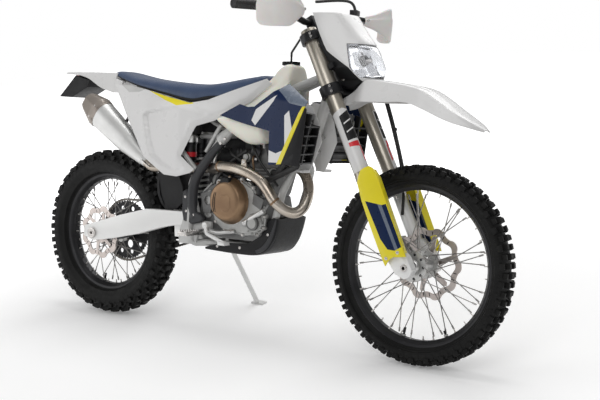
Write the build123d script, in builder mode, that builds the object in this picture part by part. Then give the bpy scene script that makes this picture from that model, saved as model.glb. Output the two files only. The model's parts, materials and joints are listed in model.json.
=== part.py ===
from build123d import *
from math import asin, atan2, cos, pi, radians, sin, sqrt, tan
import os

# Enduro motorcycle, modelled upright and then leaned onto its side stand.
# Upright frame: +X forward, +Y the rider's left, +Z up, origin on the ground
# midway between the axles. Millimetres throughout.

# ---- driving dimensions: chassis -------------------------------------------
lean_angle = 11
steering_lock = 42
rake_angle = 26.5
steering_head = Vector(382, 0, 952.25)
pivot = (-215, 440)
swingarm_reach = 526
swingarm_drop = 95
running_gap = 0.3
plastic_wall = 4

# ---- driving dimensions: fork, heights up from the axle's foot on its axis --
axle_ahead = 52
leg_ahead = 22
leg_spread = 96
lower_clamp_bottom = 655
lower_clamp_height = 40
upper_clamp_bottom = 868
upper_clamp_height = 32
bearing_gap = 5
outer_tube_bottom = 330
outer_tube_radius = 29.5
inner_tube_radius = 24
head_tube_radius = 30
stem_radius = 15
stem_boss_radius = 20
lug_top = 95
clamp_wall = 10

# ---- driving dimensions: wheels --------------------------------------------
front_flange_radius = 281
front_section_height = 68
front_tyre_half_width = 44
front_crown_radius = 62
front_rim_half_width = 23
rear_flange_radius = 242
rear_section_height = 103
rear_tyre_half_width = 60
rear_crown_radius = 75
rear_rim_half_width = 30
rim_flange_height = 14
rim_depth = 30
rim_wall = 5
tread_rows = 36
tread_depth = 13
axle_radius = 12
axle_bore_radius = 6
axle_fit = 0.05
spoke_radius = 2.2
spokes_per_side = 18
disc_thickness = 4
front_disc_radius = 130
front_disc_side = 57
rear_disc_radius = 110
rear_disc_side = 73
hub_barrel_radius = 26

# ---- driving dimensions: final drive ---------------------------------------
sprocket_radius = 126
sprocket_teeth = 50
drum_radius = 38
chain_pitch = 15.875
chain_height = 9
chain_side = 84
chain_half_width = 7
shaft = (-150, 440)

front_tyre_radius = front_flange_radius + front_section_height
rear_tyre_radius = rear_flange_radius + rear_section_height
lower_clamp_top = lower_clamp_bottom + lower_clamp_height
upper_clamp_top = upper_clamp_bottom + upper_clamp_height
outer_tube_top = upper_clamp_top + 15

# The fork plane stands on the steering axis: local x forward, y left, z up the axis.
fork_forward = Vector(cos(radians(rake_angle)), 0, sin(radians(rake_angle)))
fork_up = Vector(-sin(radians(rake_angle)), 0, cos(radians(rake_angle)))
steer_foot = steering_head - fork_up * (lower_clamp_top + bearing_gap)
front_axle = steer_foot + fork_forward * axle_ahead
rear_axle = Vector(pivot[0] - swingarm_reach, 0, pivot[1] - swingarm_drop)
fork = Plane(origin=steer_foot, x_dir=fork_forward, z_dir=fork_up)
fork_side = Plane(origin=steer_foot, x_dir=fork_forward, z_dir=(0, -1, 0))
side = Plane.XZ


def on_fork(ahead, left, up):
    """A point given ahead of the steering axis, to the left and up the axis."""
    return fork.from_local_coords(Vector(ahead, left, up))


def other_side(point):
    """The same point on the bike's right."""
    return Vector(point.X, -point.Y, point.Z)


def bar(points, bend, radius):
    """Sweep a round bar along straight runs joined by bends."""
    with BuildLine() as path:
        FilletPolyline(*points, radius=bend)
    with BuildSketch(Plane(path.line @ 0, z_dir=path.line % 0)) as profile:
        Circle(radius)
    sweep(profile.sketch, path=path.line)


def slab(points, inner, outer, mode=Mode.ADD, plane=side):
    """Extrude a side-view outline from y = inner to y = outer."""
    with BuildSketch(plane.offset(-inner)) as outline:
        with BuildLine():
            Polyline(*points, close=True)
        make_face()
    extrude(outline.sketch, amount=inner - outer, mode=mode)


def fork_slab(points, inner, outer, mode=Mode.ADD):
    """Extrude an outline in the fork's side view from y = inner to y = outer."""
    slab(points, inner, outer, mode, fork_side)


def cross_pin(centre, radius, inner, outer, mode=Mode.ADD):
    """A round pin or boss along Y, from y = inner to y = outer."""
    with BuildSketch(side.offset(-inner)) as outline:
        with Locations((centre[0], centre[1])):
            Circle(radius)
    extrude(outline.sketch, amount=inner - outer, mode=mode)


def pin_ring(centre, ring_radius, count, hole_radius, inner, outer, mode=Mode.SUBTRACT):
    """Round holes or studs along Y, evenly spaced about a centre."""
    with BuildSketch(side.offset(-inner)) as outline:
        with Locations((centre[0], centre[1])):
            with PolarLocations(ring_radius, count):
                Circle(hole_radius)
    extrude(outline.sketch, amount=inner - outer, mode=mode)


def stations(rows, ruled=True):
    """Loft a body through rows of (x, [(y, z), ...]) across the bike."""
    faces = []
    for x, points in rows:
        with BuildSketch(Plane.YZ.offset(x)) as row:
            with BuildLine():
                Polyline(*points, close=True)
            make_face()
        faces.append(row.sketch.face())
    loft(faces, ruled=ruled)


def channel(rows, wall):
    """A fender: rows of (x, half width, top z, edge z), open underneath."""
    profiles = []
    for x, half, top, edge in rows:
        shoulder = half - 0.35 * (top - edge)
        profiles.append((x, [
            (-half, edge), (-shoulder, top), (shoulder, top), (half, edge),
            (half - wall, edge), (shoulder - wall / 2, top - wall),
            (wall / 2 - shoulder, top - wall), (wall - half, edge),
        ]))
    stations(profiles)


def panel(rows, wall):
    """A side panel: rows of (x, [(y, z), ...]) for its outer face on the right."""
    profiles = []
    for x, points in rows:
        inner = [(y + wall, z) for y, z in reversed(points)]
        profiles.append((x, points + inner))
    stations(profiles)


def rim_section(flange_radius, half):
    """A channel rim: two flanges, bead seats and a drop centre."""
    seat = flange_radius - rim_flange_height
    floor = flange_radius - rim_depth
    well = half * 0.45
    return [
        (-half, flange_radius), (rim_wall - half, flange_radius),
        (rim_wall - half, seat), (-well, floor), (well, floor),
        (half - rim_wall, seat), (half - rim_wall, flange_radius),
        (half, flange_radius), (half, seat - rim_wall / 2),
        (well, floor - rim_wall), (-well, floor - rim_wall), (-half, seat - rim_wall / 2),
    ]


def facet_drum(centre, stops, mode=Mode.ADD):
    """A solid of flat facets, one per tread row, through polygons at stops of (y, radius)."""
    loops = []
    for y, radius in stops:
        loops.append([centre + Vector(radius * cos(2 * pi * row / tread_rows), y,
                                      -radius * sin(2 * pi * row / tread_rows)) for row in range(tread_rows)])
    faces = [Face(Wire.make_polygon(loops[0])), Face(Wire.make_polygon(loops[-1]))]
    for near, far in zip(loops, loops[1:]):
        for row in range(tread_rows):
            faces.append(Face(Wire.make_polygon([near[row - 1], near[row], far[row], far[row - 1]])))
    add(Solid(Shell(faces)), mode=mode)


def tread_places(centre, rows, y, radius):
    """Planes facing outward at the middle of the tread's facets."""
    places = []
    for row in rows:
        turn = 2 * pi * (row + 0.5) / tread_rows
        outward = Vector(cos(turn), 0, -sin(turn))
        places.append(Plane(origin=centre + outward * radius + Vector(0, y, 0),
                            x_dir=Vector(sin(turn), 0, cos(turn)), z_dir=outward))
    return places


def knobby_tyre(centre, radius, half_width, crown, flange_radius, rim_half):
    """A faceted carcass with rows of blocks: wide middle ones between pairs, and shoulder blocks."""
    def crown_at(y):
        return radius - crown + sqrt(crown ** 2 - y ** 2)

    bead = rim_half - rim_wall - running_gap
    seat = flange_radius - rim_flange_height + running_gap
    middle = (crown_at(half_width) + flange_radius) / 2
    fold = 0.62 * half_width
    facet = 2 * radius * sin(pi / tread_rows)
    edge_radius = crown_at(half_width) - tread_depth
    fold_radius = crown_at(fold) - tread_depth
    facet_drum(centre, [(-half_width, edge_radius), (-fold, fold_radius),
                        (fold, fold_radius), (half_width, edge_radius)])
    even = range(0, tread_rows, 2)
    odd = range(1, tread_rows, 2)
    block = 2.4 * tread_depth
    for rows, y, width, length in [(even, 0, 0.62 * half_width, 0.5 * facet),
                                   (odd, 0.36 * half_width, 0.4 * half_width, 0.5 * facet),
                                   (odd, -0.36 * half_width, 0.4 * half_width, 0.5 * facet),
                                   (even, 0.8 * half_width, 0.34 * half_width, 0.62 * facet),
                                   (even, -0.8 * half_width, 0.34 * half_width, 0.62 * facet)]:
        tip = crown_at(abs(y)) - length ** 2 / (8 * radius)
        with Locations(*tread_places(centre, rows, y, tip - block / 2)):
            Box(length, width, block)
    for way in (-1, 1):
        facet_drum(centre, sorted([(way * bead, flange_radius + 2), (way * (half_width + 8), middle + 8)]),
                   Mode.SUBTRACT)
    facet_drum(centre, [(-bead - 1, seat), (bead + 1, seat)], Mode.SUBTRACT)


def spoke_set(centre, flange_y, flange_radius, lead, radius):
    """Wire spokes from one hub flange, half leaning forward and half back."""
    for index in range(spokes_per_side):
        turn = 2 * pi * (index + 0.5 * (flange_y > 0)) / spokes_per_side
        swing = radians(lead) * (1 if index % 2 else -1)
        y_hub = flange_y + (1.6 * spoke_radius if index % 2 else -1.6 * spoke_radius)
        start = centre + Vector(flange_radius * cos(turn), y_hub, flange_radius * sin(turn))
        reach = turn + swing
        end = centre + Vector(radius * cos(reach), flange_y * 0.12, radius * sin(reach))
        aim = end - start
        with BuildSketch(Plane(origin=start, z_dir=aim)) as wire:
            Circle(spoke_radius)
        extrude(wire.sketch, amount=aim.length)


# ============================ frame body =====================================
arm_front_inner = 60
arm_front_outer = 94
arm_rear_inner = 96
arm_rear_outer = 122
axle_end = 130
front_axle_end = 116
pivot_radius = 10
link_pivot = (-315, 375)
bridge_rear = rear_axle.X + rear_tyre_radius + 11

# Swingarm: two tapered arms, a cross tube at the pivot, a bridge and the linkage ears.
with BuildPart() as swingarm:
    slab([(rear_axle.X - 49, rear_axle.Z + 27), (rear_axle.X + 6, rear_axle.Z + 43),
          (rear_axle.X + 156, rear_axle.Z + 85), (-452, 464), (-190, 466), (-190, 414), (-297, 412),
          (-375, 396), (-487, 362), (rear_axle.X + 112, rear_axle.Z - 14),
          (rear_axle.X + 6, rear_axle.Z - 31), (rear_axle.X - 49, rear_axle.Z - 15)],
         arm_front_inner, arm_rear_outer)
    with BuildSketch(Plane.XY) as plan:
        with BuildLine():
            Polyline((rear_axle.X - 59, arm_rear_inner), (rear_axle.X + 166, arm_rear_inner),
                     (-430, 72), (-330, arm_front_inner), (-180, arm_front_inner),
                     (-180, arm_front_outer - 2), (-260, arm_front_outer), (-400, 104),
                     (rear_axle.X + 181, arm_rear_outer),
                     (rear_axle.X - 59, arm_rear_outer), close=True)
        make_face()
    extrude(plan.sketch, amount=600, mode=Mode.INTERSECT)
    slab([(-332, 414), (-298, 414), (-302, 362), (-328, 362)], arm_front_inner, arm_front_inner + 12)
    mirror(about=Plane.XZ)
    cross_pin(pivot, 24, -arm_front_outer, arm_front_outer)
    slab([(bridge_rear, 455), (bridge_rear + 55, 458), (bridge_rear + 55, 425),
          (bridge_rear + 10, 415)], -80, 80)
    cross_pin((rear_axle.X, rear_axle.Z), axle_radius + axle_fit, -140, 140, Mode.SUBTRACT)
    cross_pin(pivot, pivot_radius + axle_fit, -140, 140, Mode.SUBTRACT)

with BuildPart() as rear_axle_shaft:
    cross_pin((rear_axle.X, rear_axle.Z), axle_radius, -axle_end, axle_end)
    cross_pin((rear_axle.X, rear_axle.Z), 21, -axle_end, -arm_rear_outer - running_gap)
    cross_pin((rear_axle.X, rear_axle.Z), 21, arm_rear_outer + running_gap, axle_end)
    cross_pin((rear_axle.X, rear_axle.Z), axle_bore_radius, -axle_end, axle_end, Mode.SUBTRACT)

# Side stand geometry: the leg reaches the ground of the leaning machine.
stand_splay = 30
stand_lead = 8
stand_pivot = Vector(-258, 140, 380)
foot_height = 8
stand_eye_half = 11
stand_leg_radius = 10
stand_travel = 96
stand_down = Vector(sin(radians(stand_lead)),
                    cos(radians(stand_lead)) * sin(radians(stand_splay)),
                    -cos(radians(stand_lead)) * cos(radians(stand_splay)))
stand_axis = Vector(0, cos(radians(stand_splay)), sin(radians(stand_splay)))
ground_slope = tan(radians(lean_angle))
tread_drop = 0.31 * rear_tyre_half_width * ground_slope
stand_length = (stand_pivot.Z - stand_pivot.Y * ground_slope + tread_drop) / (
    stand_down.Y * ground_slope - stand_down.Z)
stand_foot = stand_pivot + stand_down * stand_length
ground_up = Vector(0, -sin(radians(lean_angle)), cos(radians(lean_angle)))

# Shock, radiators and pedal places that the frame's mounts share.
shock_x = -262
shock_body_radius = 27
tower_radius = 9
tower_x = shock_x + shock_body_radius + running_gap + tower_radius
radiator_sweep = 16
radiator_tilt = 11.3
radiator_middle = Vector(322, 114, 776)
radiator_half_width = 50
radiator_half_height = 85
radiator_depth = 32
radiator_across = Vector(sin(radians(radiator_sweep)), cos(radians(radiator_sweep)), 0)
radiator_ahead = Vector(cos(radians(radiator_sweep)), -sin(radians(radiator_sweep)), 0)
radiator_up = (radiator_ahead * sin(radians(radiator_tilt))
               + Vector(0, 0, cos(radians(radiator_tilt))))
radiator_face = Plane(origin=radiator_middle, x_dir=radiator_across,
                      z_dir=radiator_across.cross(radiator_up))
radiator_pin_radius = 6
radiator_pins = [(290, 776), (272, 722)]
pedal_pivot = (-123, 425)
head_bottom = on_fork(0, 0, lower_clamp_top + bearing_gap)
head_top = on_fork(0, 0, upper_clamp_bottom - bearing_gap)
head_low = steering_head
spar_side = 114
spar_radius = 15
plate_inner = 99
plate_outer = 111
cradle_side = 72
cradle_radius = 14
cradle_floor = 354
split_point = (252, 0, 700)

with BuildPart() as main_frame:
    with BuildSketch(Plane(origin=head_bottom, z_dir=fork_up)) as head:
        Circle(head_tube_radius)
    extrude(head.sketch, amount=(head_top - head_bottom).length)
    bar([(head_low.X - 42, 16, head_low.Z + 48), (130, 40, 925), (-60, 104, 770),
         (-205, spar_side, 590), (-215, spar_side, 380)], 60, spar_radius)
    bar([split_point, (230, 58, 648), (200, 76, 570), (140, cradle_side, 380),
         (60, cradle_side, cradle_floor), (-150, cradle_side, cradle_floor),
         (-205, 104, cradle_floor - 3), (-215, 109, 410)], 18, cradle_radius)
    bar([(200, 30, 948), (228, 20, 760), split_point], 40, 10)
    slab([(-245, 520), (-190, 520), (-165, 440), (-110, 438), (-110, 412), (-172, 405),
          (-185, 345), (-272, 345), (-272, 385), (-252, 440)], plate_inner, plate_outer)
    bar([(-66, 104, 765), (-150, 60, 764), (tower_x, 40, 762)], 20, tower_radius)
    mirror(about=Plane.XZ)
    with BuildSketch(Plane(origin=stand_pivot - stand_axis * (stand_eye_half + running_gap),
                           z_dir=-stand_axis)) as stand_boss:
        Circle(14)
    extrude(stand_boss.sketch, amount=30)
    bar([(head_low.X - 30, 0, head_low.Z + 20), (300, 0, 820), split_point], 60, 20)
    cross_pin((-60, 770), 12, -104, 104)
    cross_pin((tower_x, 762), tower_radius, -44, 44)
    cross_pin((-130, 356), 12, -cradle_side, cradle_side)
    cross_pin((-60, 371.7), 8, -cradle_side, cradle_side)
    for pin in radiator_pins:
        cross_pin(pin, radiator_pin_radius, -69, 69)
    with BuildSketch(Plane(origin=head_bottom, z_dir=fork_up)) as bore:
        Circle(stem_radius + axle_fit)
    extrude(bore.sketch, amount=(head_top - head_bottom).length, mode=Mode.SUBTRACT)
    cross_pin(pivot, 26, -plate_inner + 1, plate_inner - 1, Mode.SUBTRACT)
    cross_pin(pivot, pivot_radius, -plate_outer - 3, plate_outer + 3)

rail_radius = 10
rail_front = (-75.5, 60, 784.6)
rail_bend = Vector(-240, 62, 862)
rail_end = Vector(-560, 58, 945)
rail_way = (rail_end - rail_bend).normalized()

with BuildPart() as subframe:
    bar([rail_front, rail_bend, rail_end], 60, rail_radius)
    bar([(-190, 112, 634), (-330, 109, 765), (-500, 66, 925)], 60, 9)
    mirror(about=Plane.XZ)
    cross_pin((rail_front[0], rail_front[2]), 9, -rail_front[1], rail_front[1])
    cross_pin((-540, 950.2), 9, -rail_end.Y, rail_end.Y)

# Rear shock: spring, piggyback reservoir and rod, down to a linkage rocker.
reservoir_side = 72
spring_low = 500
spring_high = 690
coil_count = 8
coil_rise = (spring_high - spring_low) / coil_count
link_half = 40
link_slot_floor = 360

with BuildPart() as shock:
    with BuildSketch(Plane.XY.offset(spring_low)) as damper:
        with Locations((shock_x, 0)):
            Circle(30)
    extrude(damper.sketch, amount=spring_high - spring_low)
    for coil in range(coil_count):
        with BuildSketch(Plane.XY.offset(spring_low + coil_rise * (coil + 0.2))) as turn:
            with Locations((shock_x, 0)):
                Circle(36)
        extrude(turn.sketch, amount=0.6 * coil_rise)
    with BuildSketch(Plane.XY.offset(link_slot_floor + running_gap)) as rod:
        with Locations((shock_x, 0)):
            Circle(9)
    extrude(rod.sketch, amount=150)
    with BuildSketch(Plane.XY.offset(spring_high)) as body:
        with Locations((shock_x, 0)):
            Circle(shock_body_radius)
    extrude(body.sketch, amount=75)
    with BuildSketch(Plane.XY.offset(672)) as reservoir:
        with Locations((shock_x, -reservoir_side)):
            Circle(26)
    extrude(reservoir.sketch, amount=93)
    slab([(-285, 735), (-240, 735), (-240, 765), (-285, 765)], -reservoir_side, 0)

with BuildPart() as shock_linkage:
    slab([(-330, 395), (-262, 398), (-215, 385), (-208, 350), (-250, 335), (-318, 345)],
         -link_half, link_half)
    slab([(-300, 420), (-240, 420), (-240, link_slot_floor), (-300, link_slot_floor)],
         -14, 14, Mode.SUBTRACT)
    cross_pin(link_pivot, 8, -arm_front_inner + running_gap, arm_front_inner - running_gap)
    slab([(-215, 366), (-142 - running_gap, 362), (-142 - running_gap, 350), (-215, 346)], -12, 12)

# Engine: crankcase with its ribs, cylinder with base and cover, side covers, water pump.
case_right = -96
case_left = 70
crank_centre = (-5, 525)
cover_radius = 88

with BuildPart() as engine_cases:
    slab([(-165, 560), (-180, 470), (-150, 398), (-60, 380), (80, 380), (120, 404), (148, 470),
          (130, 545), (40, 575), (-90, 590)], case_right, case_left)
    cross_pin((100, 450), 36, case_right - 20, case_right)
    cross_pin((100, 450), 26, case_right - 34, case_right - 20)
    slab([(88, 520), (128, 500), (140, 540), (92, 560)], case_right - 16, case_right)
    slab([(-170, 545), (-150, 470), (-118, 470), (-100, 560)], case_right - 12, case_right)
    cross_pin((-132, 520), 17, case_right - 13, case_right, Mode.SUBTRACT)

with BuildPart() as cylinder:
    slab([(40, 575 + running_gap), (130, 545 + running_gap), (140, 560), (165, 640), (172, 720),
          (150, 735), (40, 735), (25, 690)], -58, 58)
    slab([(32, 655), (165, 655), (166, 667), (30, 667)], -62, 62)
    slab([(30, 728), (166, 728), (150, 752), (46, 752)], -54, 54)

with BuildPart() as engine_covers:
    cross_pin(crank_centre, cover_radius, case_right - 18, case_right)
    cross_pin(crank_centre, cover_radius - 10, case_right - 46, case_right - 18)
    cross_pin(crank_centre, cover_radius - 24, case_right - 56, case_right - 46)
    cross_pin((15, 470), 82, case_left, case_left + 30)
    cross_pin((15, 470), 66, case_left + 30, case_left + 42)
    cross_pin(shaft, drum_radius, case_left, case_left + 20)

# Exhaust: header looping down in front of the engine, then back to the silencer.
header_radius = 20
silencer_foot = Vector(-441, -113, 653)
silencer_axis = Vector(-338, -5, 236).normalized()
silencer_length = 415

with BuildPart() as exhaust_header:
    bar([(168.2, 0, 662), (215, 0, 656), (268, -14, 620), (290, -48, 545), (262, -85, 487),
         (205, -136, 540), (150, -141, 615), (48, -140, 646), (-70, -112, 654),
         (-155, -70, 632), (-280, -84, 606), silencer_foot - silencer_axis * 70,
         silencer_foot - silencer_axis * running_gap], 30, header_radius)

with BuildPart() as silencer:
    rings = []
    for along, half_width, half_height in [(0, 24, 26), (130, 40, 46), (330, 47, 56),
                                           (silencer_length, 30, 36)]:
        with BuildSketch(Plane(origin=silencer_foot + silencer_axis * along, x_dir=(0, 1, 0),
                               z_dir=silencer_axis)) as ring:
            with BuildLine():
                Polyline((-0.45 * half_width, half_height), (0.45 * half_width, half_height),
                         (half_width, 0.5 * half_height), (half_width, -0.45 * half_height),
                         (0.45 * half_width, -half_height), (-0.45 * half_width, -half_height),
                         (-half_width, -0.45 * half_height), (-half_width, 0.5 * half_height),
                         close=True)
            make_face()
        rings.append(ring.sketch.face())
    loft(rings, ruled=True)
    with BuildSketch(Plane(origin=silencer_foot + silencer_axis * (silencer_length - 30),
                           z_dir=silencer_axis)) as outlet:
        Circle(19)
    extrude(outlet.sketch, amount=60, mode=Mode.SUBTRACT)
    bar([(-585, -104, 790), (-566, -72, 870), (-548, -58, 929.5)], 20, 6)

# Cooling: a finned radiator each side of the downtube, behind a louvred guard.
fin_pitch = 17

with BuildPart() as radiators:
    with BuildSketch(radiator_face) as core:
        Rectangle(2 * radiator_half_width, 2 * radiator_half_height)
    extrude(core.sketch, amount=-radiator_depth)
    with BuildSketch(radiator_face) as fins:
        with GridLocations(0, fin_pitch, 1, 8):
            Rectangle(2 * radiator_half_width - 12, 0.5 * fin_pitch)
    extrude(fins.sketch, amount=-5, mode=Mode.SUBTRACT)
    mirror(about=Plane.XZ)

shroud_edge_top = (382, 879)
shroud_edge_foot = (285, 679)
guard_side = 207
guard_inner = -54
guard_outer = (guard_side - radiator_middle.Y) / cos(radians(radiator_sweep)) + 1
louvre_depth = 26

with BuildPart() as radiator_guards:
    slab([(shroud_edge_top[0] + running_gap, shroud_edge_top[1]),
          (shroud_edge_foot[0] + running_gap, shroud_edge_foot[1]), (364, 674), (388, 872)],
         -guard_side - 4, -guard_side)
    with BuildSketch(radiator_face.offset(running_gap)) as louvres:
        for step in range(5):
            with Locations(((guard_inner + guard_outer) / 2, -90 + 33 * step)):
                Rectangle(guard_outer - guard_inner, 5)
        with Locations((guard_inner + 4, -24)):
            Rectangle(8, 2 * 70)
        with Locations((58, -4)):
            Rectangle(8, 180)
    extrude(louvres.sketch, amount=louvre_depth)
    mirror(about=Plane.XZ)

# Inner air guides: upright panels between the radiators and the downtube.
guide_side = 48

with BuildPart() as air_guides:
    slab([(232, 905), (298, 890), (330, 838), (348, 760), (320, 695), (300, 656), (258, 658),
          (240, 700), (226, 740)], guide_side, guide_side + plastic_wall)
    slab([(300, 656), (258, 658), (256, 650), (298, 646)], guide_side, guide_side + 46)
    for pin in radiator_pins:
        cross_pin(pin, radiator_pin_radius + running_gap, 40, 60, Mode.SUBTRACT)
    mirror(about=Plane.XZ)

# Fuel tank: narrow on top, bulging low on each side of the cylinder head.
cap_centre = (165, 0, 1037)

with BuildPart() as fuel_tank:
    lobes = []
    for x, top, half_top, waist, lobe_top, lobe, floor in [
            (-66, 856, 84, 92, 838, 138, 808), (30, 930, 74, 98, 846, 150, 762),
            (96, 975, 64, 88, 858, 154, 757), (165, 1037, 58, 86, 868, 152, 764),
            (246, 1034, 50, 72, 975, 100, 958)]:
        lobes.append((x, [(-half_top, top), (-waist, lobe_top + 0.3 * (top - lobe_top)),
                          (-lobe, lobe_top), (-lobe, floor + 12), (-lobe + 30, floor),
                          (lobe - 30, floor), (lobe, floor + 12), (lobe, lobe_top),
                          (waist, lobe_top + 0.3 * (top - lobe_top)), (half_top, top)]))
    stations(lobes)
    with BuildPart(mode=Mode.PRIVATE) as tunnel:
        stations([(x, [(-half, 700), (-half, top), (half, top), (half, 700)]) for x, half, top in
                  [(-80, 124, 800), (30, 96, 866), (130, 64, 948), (260, 46, 990)]])
    add(tunnel.part, mode=Mode.SUBTRACT)

with BuildPart() as filler_cap:
    with BuildSketch(Plane(origin=cap_centre)) as cap_disc:
        Circle(34)
        with PolarLocations(34, 8):
            Circle(5, mode=Mode.SUBTRACT)
    extrude(cap_disc.sketch, amount=14)

# Bodywork. Each side panel is a creased shell trimmed to its side-view outline.
with BuildPart() as radiator_shrouds:
    panel([
        (-60, [(-136, 1000), (-152, 860), (-154, 640)]),
        (100, [(-130, 1000), (-164, 900), (-172, 640)]),
        (230, [(-130, 1000), (-190, 935), (-205, 640)]),
        (310, [(-120, 1000), (-205, 905), (-215, 640)]),
        (400, [(-120, 1000), (-214, 893), (-218, 640)]),
    ], plastic_wall)
    slab([(-46, 845), (53, 888), (95, 878), (130, 880), (250, 945), (274, 963), (392, 900),
          shroud_edge_top, shroud_edge_foot, (224, 674), (218, 794), (98, 813)],
         -260, -100, Mode.INTERSECT)
    mirror(about=Plane.XZ)

with BuildPart() as side_panels:
    panel([
        (-660, [(-104, 1010), (-110, 930), (-146, 590)]),
        (-430, [(-112, 1010), (-140, 850), (-164, 590)]),
        (-256, [(-112, 1010), (-150, 875), (-158, 590)]),
        (-171, [(-110, 1010), (-144, 860), (-150, 590)]),
        (0, [(-104, 1010), (-112, 900), (-134, 590)]),
        (140, [(-84, 1010), (-94, 940), (-120, 590)]),
    ], plastic_wall)
    slab([(-613, 918), (-640, 958), (-560, 958), (-464, 940), (-333, 910), (-226, 890),
          (-140, 903), (0, 948), (120, 984), (138, 966), (53, 897), (-46, 850), (-95, 825),
          (-179, 800), (-184, 788), (-243, 685), (-179, 637), (-251, 606), (-315, 610),
          (-425, 673)], -260, -60, Mode.INTERSECT)
    mirror(about=Plane.XZ)

with BuildPart() as seat:
    rows = []
    for x, top, bottom, half in [(-655, 1010, 988, 66), (-540, 992, 960, 92), (-380, 975, 926, 104),
                                 (-227, 966, 897, 107), (-140, 968, 910, 104), (0, 990, 909.5, 88),
                                 (95, 1003, 979, 62)]:
        rise = top - bottom
        rows.append((x, [(-half, bottom), (-half * 0.98, bottom + 0.5 * rise), (-half * 0.6, top),
                         (half * 0.6, top), (half * 0.98, bottom + 0.5 * rise), (half, bottom)]))
    stations(rows)

with BuildPart() as rear_fender:
    channel([(-985, 55, 1013, 1004), (-900, 64, 1013, 998), (-830, 74, 1013, 982),
             (-740, 92, 1011, 945), (-662, 102, 1009, 926), (-657, 101, 984, 926),
             (-620, 101, 975, 926)], plastic_wall)
    bar([rail_end + rail_way * running_gap, rail_end + rail_way * 50, (-655, rail_end.Y, 975)], 20, 9)
    mirror(about=Plane.XZ)

with BuildPart() as plate_holder:
    slab([(-1022, 908), (-945, 905), (-850, 950), (-835, 978), (-925, 998), (-960, 965)], -60, 60)
    slab([(-925, 990), (-860, 980), (-860, 1009 - running_gap), (-925, 1009 - running_gap)], -40, 40)

with BuildPart() as tail_lamp:
    slab([(-932.2, 991.8), (-956.2, 969.2), (-968, 980), (-944, 1001)], -38, 38)

# Underside and guards.
plate_top = cradle_floor - cradle_radius - running_gap

with BuildPart() as skid_plate:
    slab([(-150, plate_top), (60, plate_top), (112, 346), (162, 376), (215, 478), (236, 486),
          (176, 362), (112, 332), (60, 325), (-150, 329)], -92, 92)
    for inner, outer in [(88, 92), (-92, -88)]:
        slab([(-120, 338), (60, 338), (112, 344), (164, 374), (220, 480), (176, 474), (140, 424),
              (104, 386), (50, 370), (-60, 362)], inner, outer)

guard_gap_side = spar_side + spar_radius + running_gap

with BuildPart() as frame_guards:
    slab([(-222, 600), (-205, 610), (-95, 750), (-75, 735), (-185, 590), (-190, 520), (-170, 470),
          (-165, 430), (-200, 425), (-240, 440)], -guard_gap_side - plastic_wall, -guard_gap_side)
    mirror(about=Plane.XZ)

with BuildPart() as footpegs:
    slab([(-196, 400), (-150, 400), (-150, 386), (-196, 386)],
         -205, -plate_outer - running_gap)
    for tooth in range(7):
        slab([(-192, 399), (-186, 408), (-180, 399)], -203 + 10 * tooth, -198 + 10 * tooth)
        slab([(-166, 399), (-160, 408), (-154, 399)], -203 + 10 * tooth, -198 + 10 * tooth)
    mirror(about=Plane.XZ)

with BuildPart() as foot_levers:
    cross_pin(pedal_pivot, 12, -plate_outer - 24, -plate_outer - running_gap)
    bar([(pedal_pivot[0], -plate_outer - 18, pedal_pivot[1]), (-108, -138, 395), (-8, -156, 369)], 14, 7)
    slab([(-22, 362), (10, 362), (8, 372), (-22, 376)], -176, -142)
    cross_pin((-86, 424), 8, case_left + running_gap, 100)
    bar([(-86, 96, 424), (-60, 130, 424), (20, 140, 428)], 16, 6)
    cross_pin((20, 428), 9, 132, 168)

# Final drive: a toothed loop of links round the drum and the sprocket.
link_mid_rear = sprocket_radius + running_gap + chain_height / 2
link_mid_front = drum_radius + running_gap + chain_height / 2
chain_tilt = atan2(shaft[1] - rear_axle.Z, shaft[0] - rear_axle.X)
chain_span = sqrt((shaft[0] - rear_axle.X) ** 2 + (shaft[1] - rear_axle.Z) ** 2)
chain_wrap = asin((link_mid_rear - link_mid_front) / chain_span)
straight_run = chain_span * cos(chain_wrap)
rear_arc = link_mid_rear * (pi + 2 * chain_wrap)
front_arc = link_mid_front * (pi - 2 * chain_wrap)
chain_links = 2 * round((2 * straight_run + rear_arc + front_arc) / chain_pitch / 2)
chain_step = (2 * straight_run + rear_arc + front_arc) / (2 * chain_links)


def chain_point(along, rise):
    """A point beside the chain's middle line, measured along it from the upper run's rear end."""
    upper = chain_tilt + pi / 2 - chain_wrap
    lower = chain_tilt - pi / 2 + chain_wrap
    if along < straight_run:
        turn, reach, slide = upper, link_mid_rear, along
        centre = (rear_axle.X, rear_axle.Z)
        ahead = upper - pi / 2
    elif along < straight_run + front_arc:
        turn = upper - (along - straight_run) / link_mid_front
        reach, slide, centre, ahead = link_mid_front, 0, shaft, 0
    elif along < 2 * straight_run + front_arc:
        turn, reach, slide = lower, link_mid_front, along - straight_run - front_arc
        centre = shaft
        ahead = lower - pi / 2
    else:
        turn = lower - (along - 2 * straight_run - front_arc) / link_mid_rear
        reach, slide, centre, ahead = link_mid_rear, 0, (rear_axle.X, rear_axle.Z), 0
    return (centre[0] + (reach + rise) * cos(turn) + slide * cos(ahead),
            centre[1] + (reach + rise) * sin(turn) + slide * sin(ahead))


with BuildPart() as drive_chain:
    slab([chain_point(step * chain_step, chain_height / 2 - (2 if step % 2 else 0))
          for step in range(2 * chain_links)], chain_side - chain_half_width, chain_side + chain_half_width)
    with BuildSketch(side.offset(-chain_side + chain_half_width)) as inside:
        with Locations((rear_axle.X, rear_axle.Z)):
            Circle(sprocket_radius + running_gap)
        with Locations(shaft):
            Circle(drum_radius + running_gap)
        make_hull()
    extrude(inside.sketch, amount=-2 * chain_half_width, mode=Mode.SUBTRACT)

guide_x = rear_axle.X + 159
guide_z = chain_point(2 * straight_run + front_arc - (guide_x - rear_axle.X - 39), 0)[1]

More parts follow.
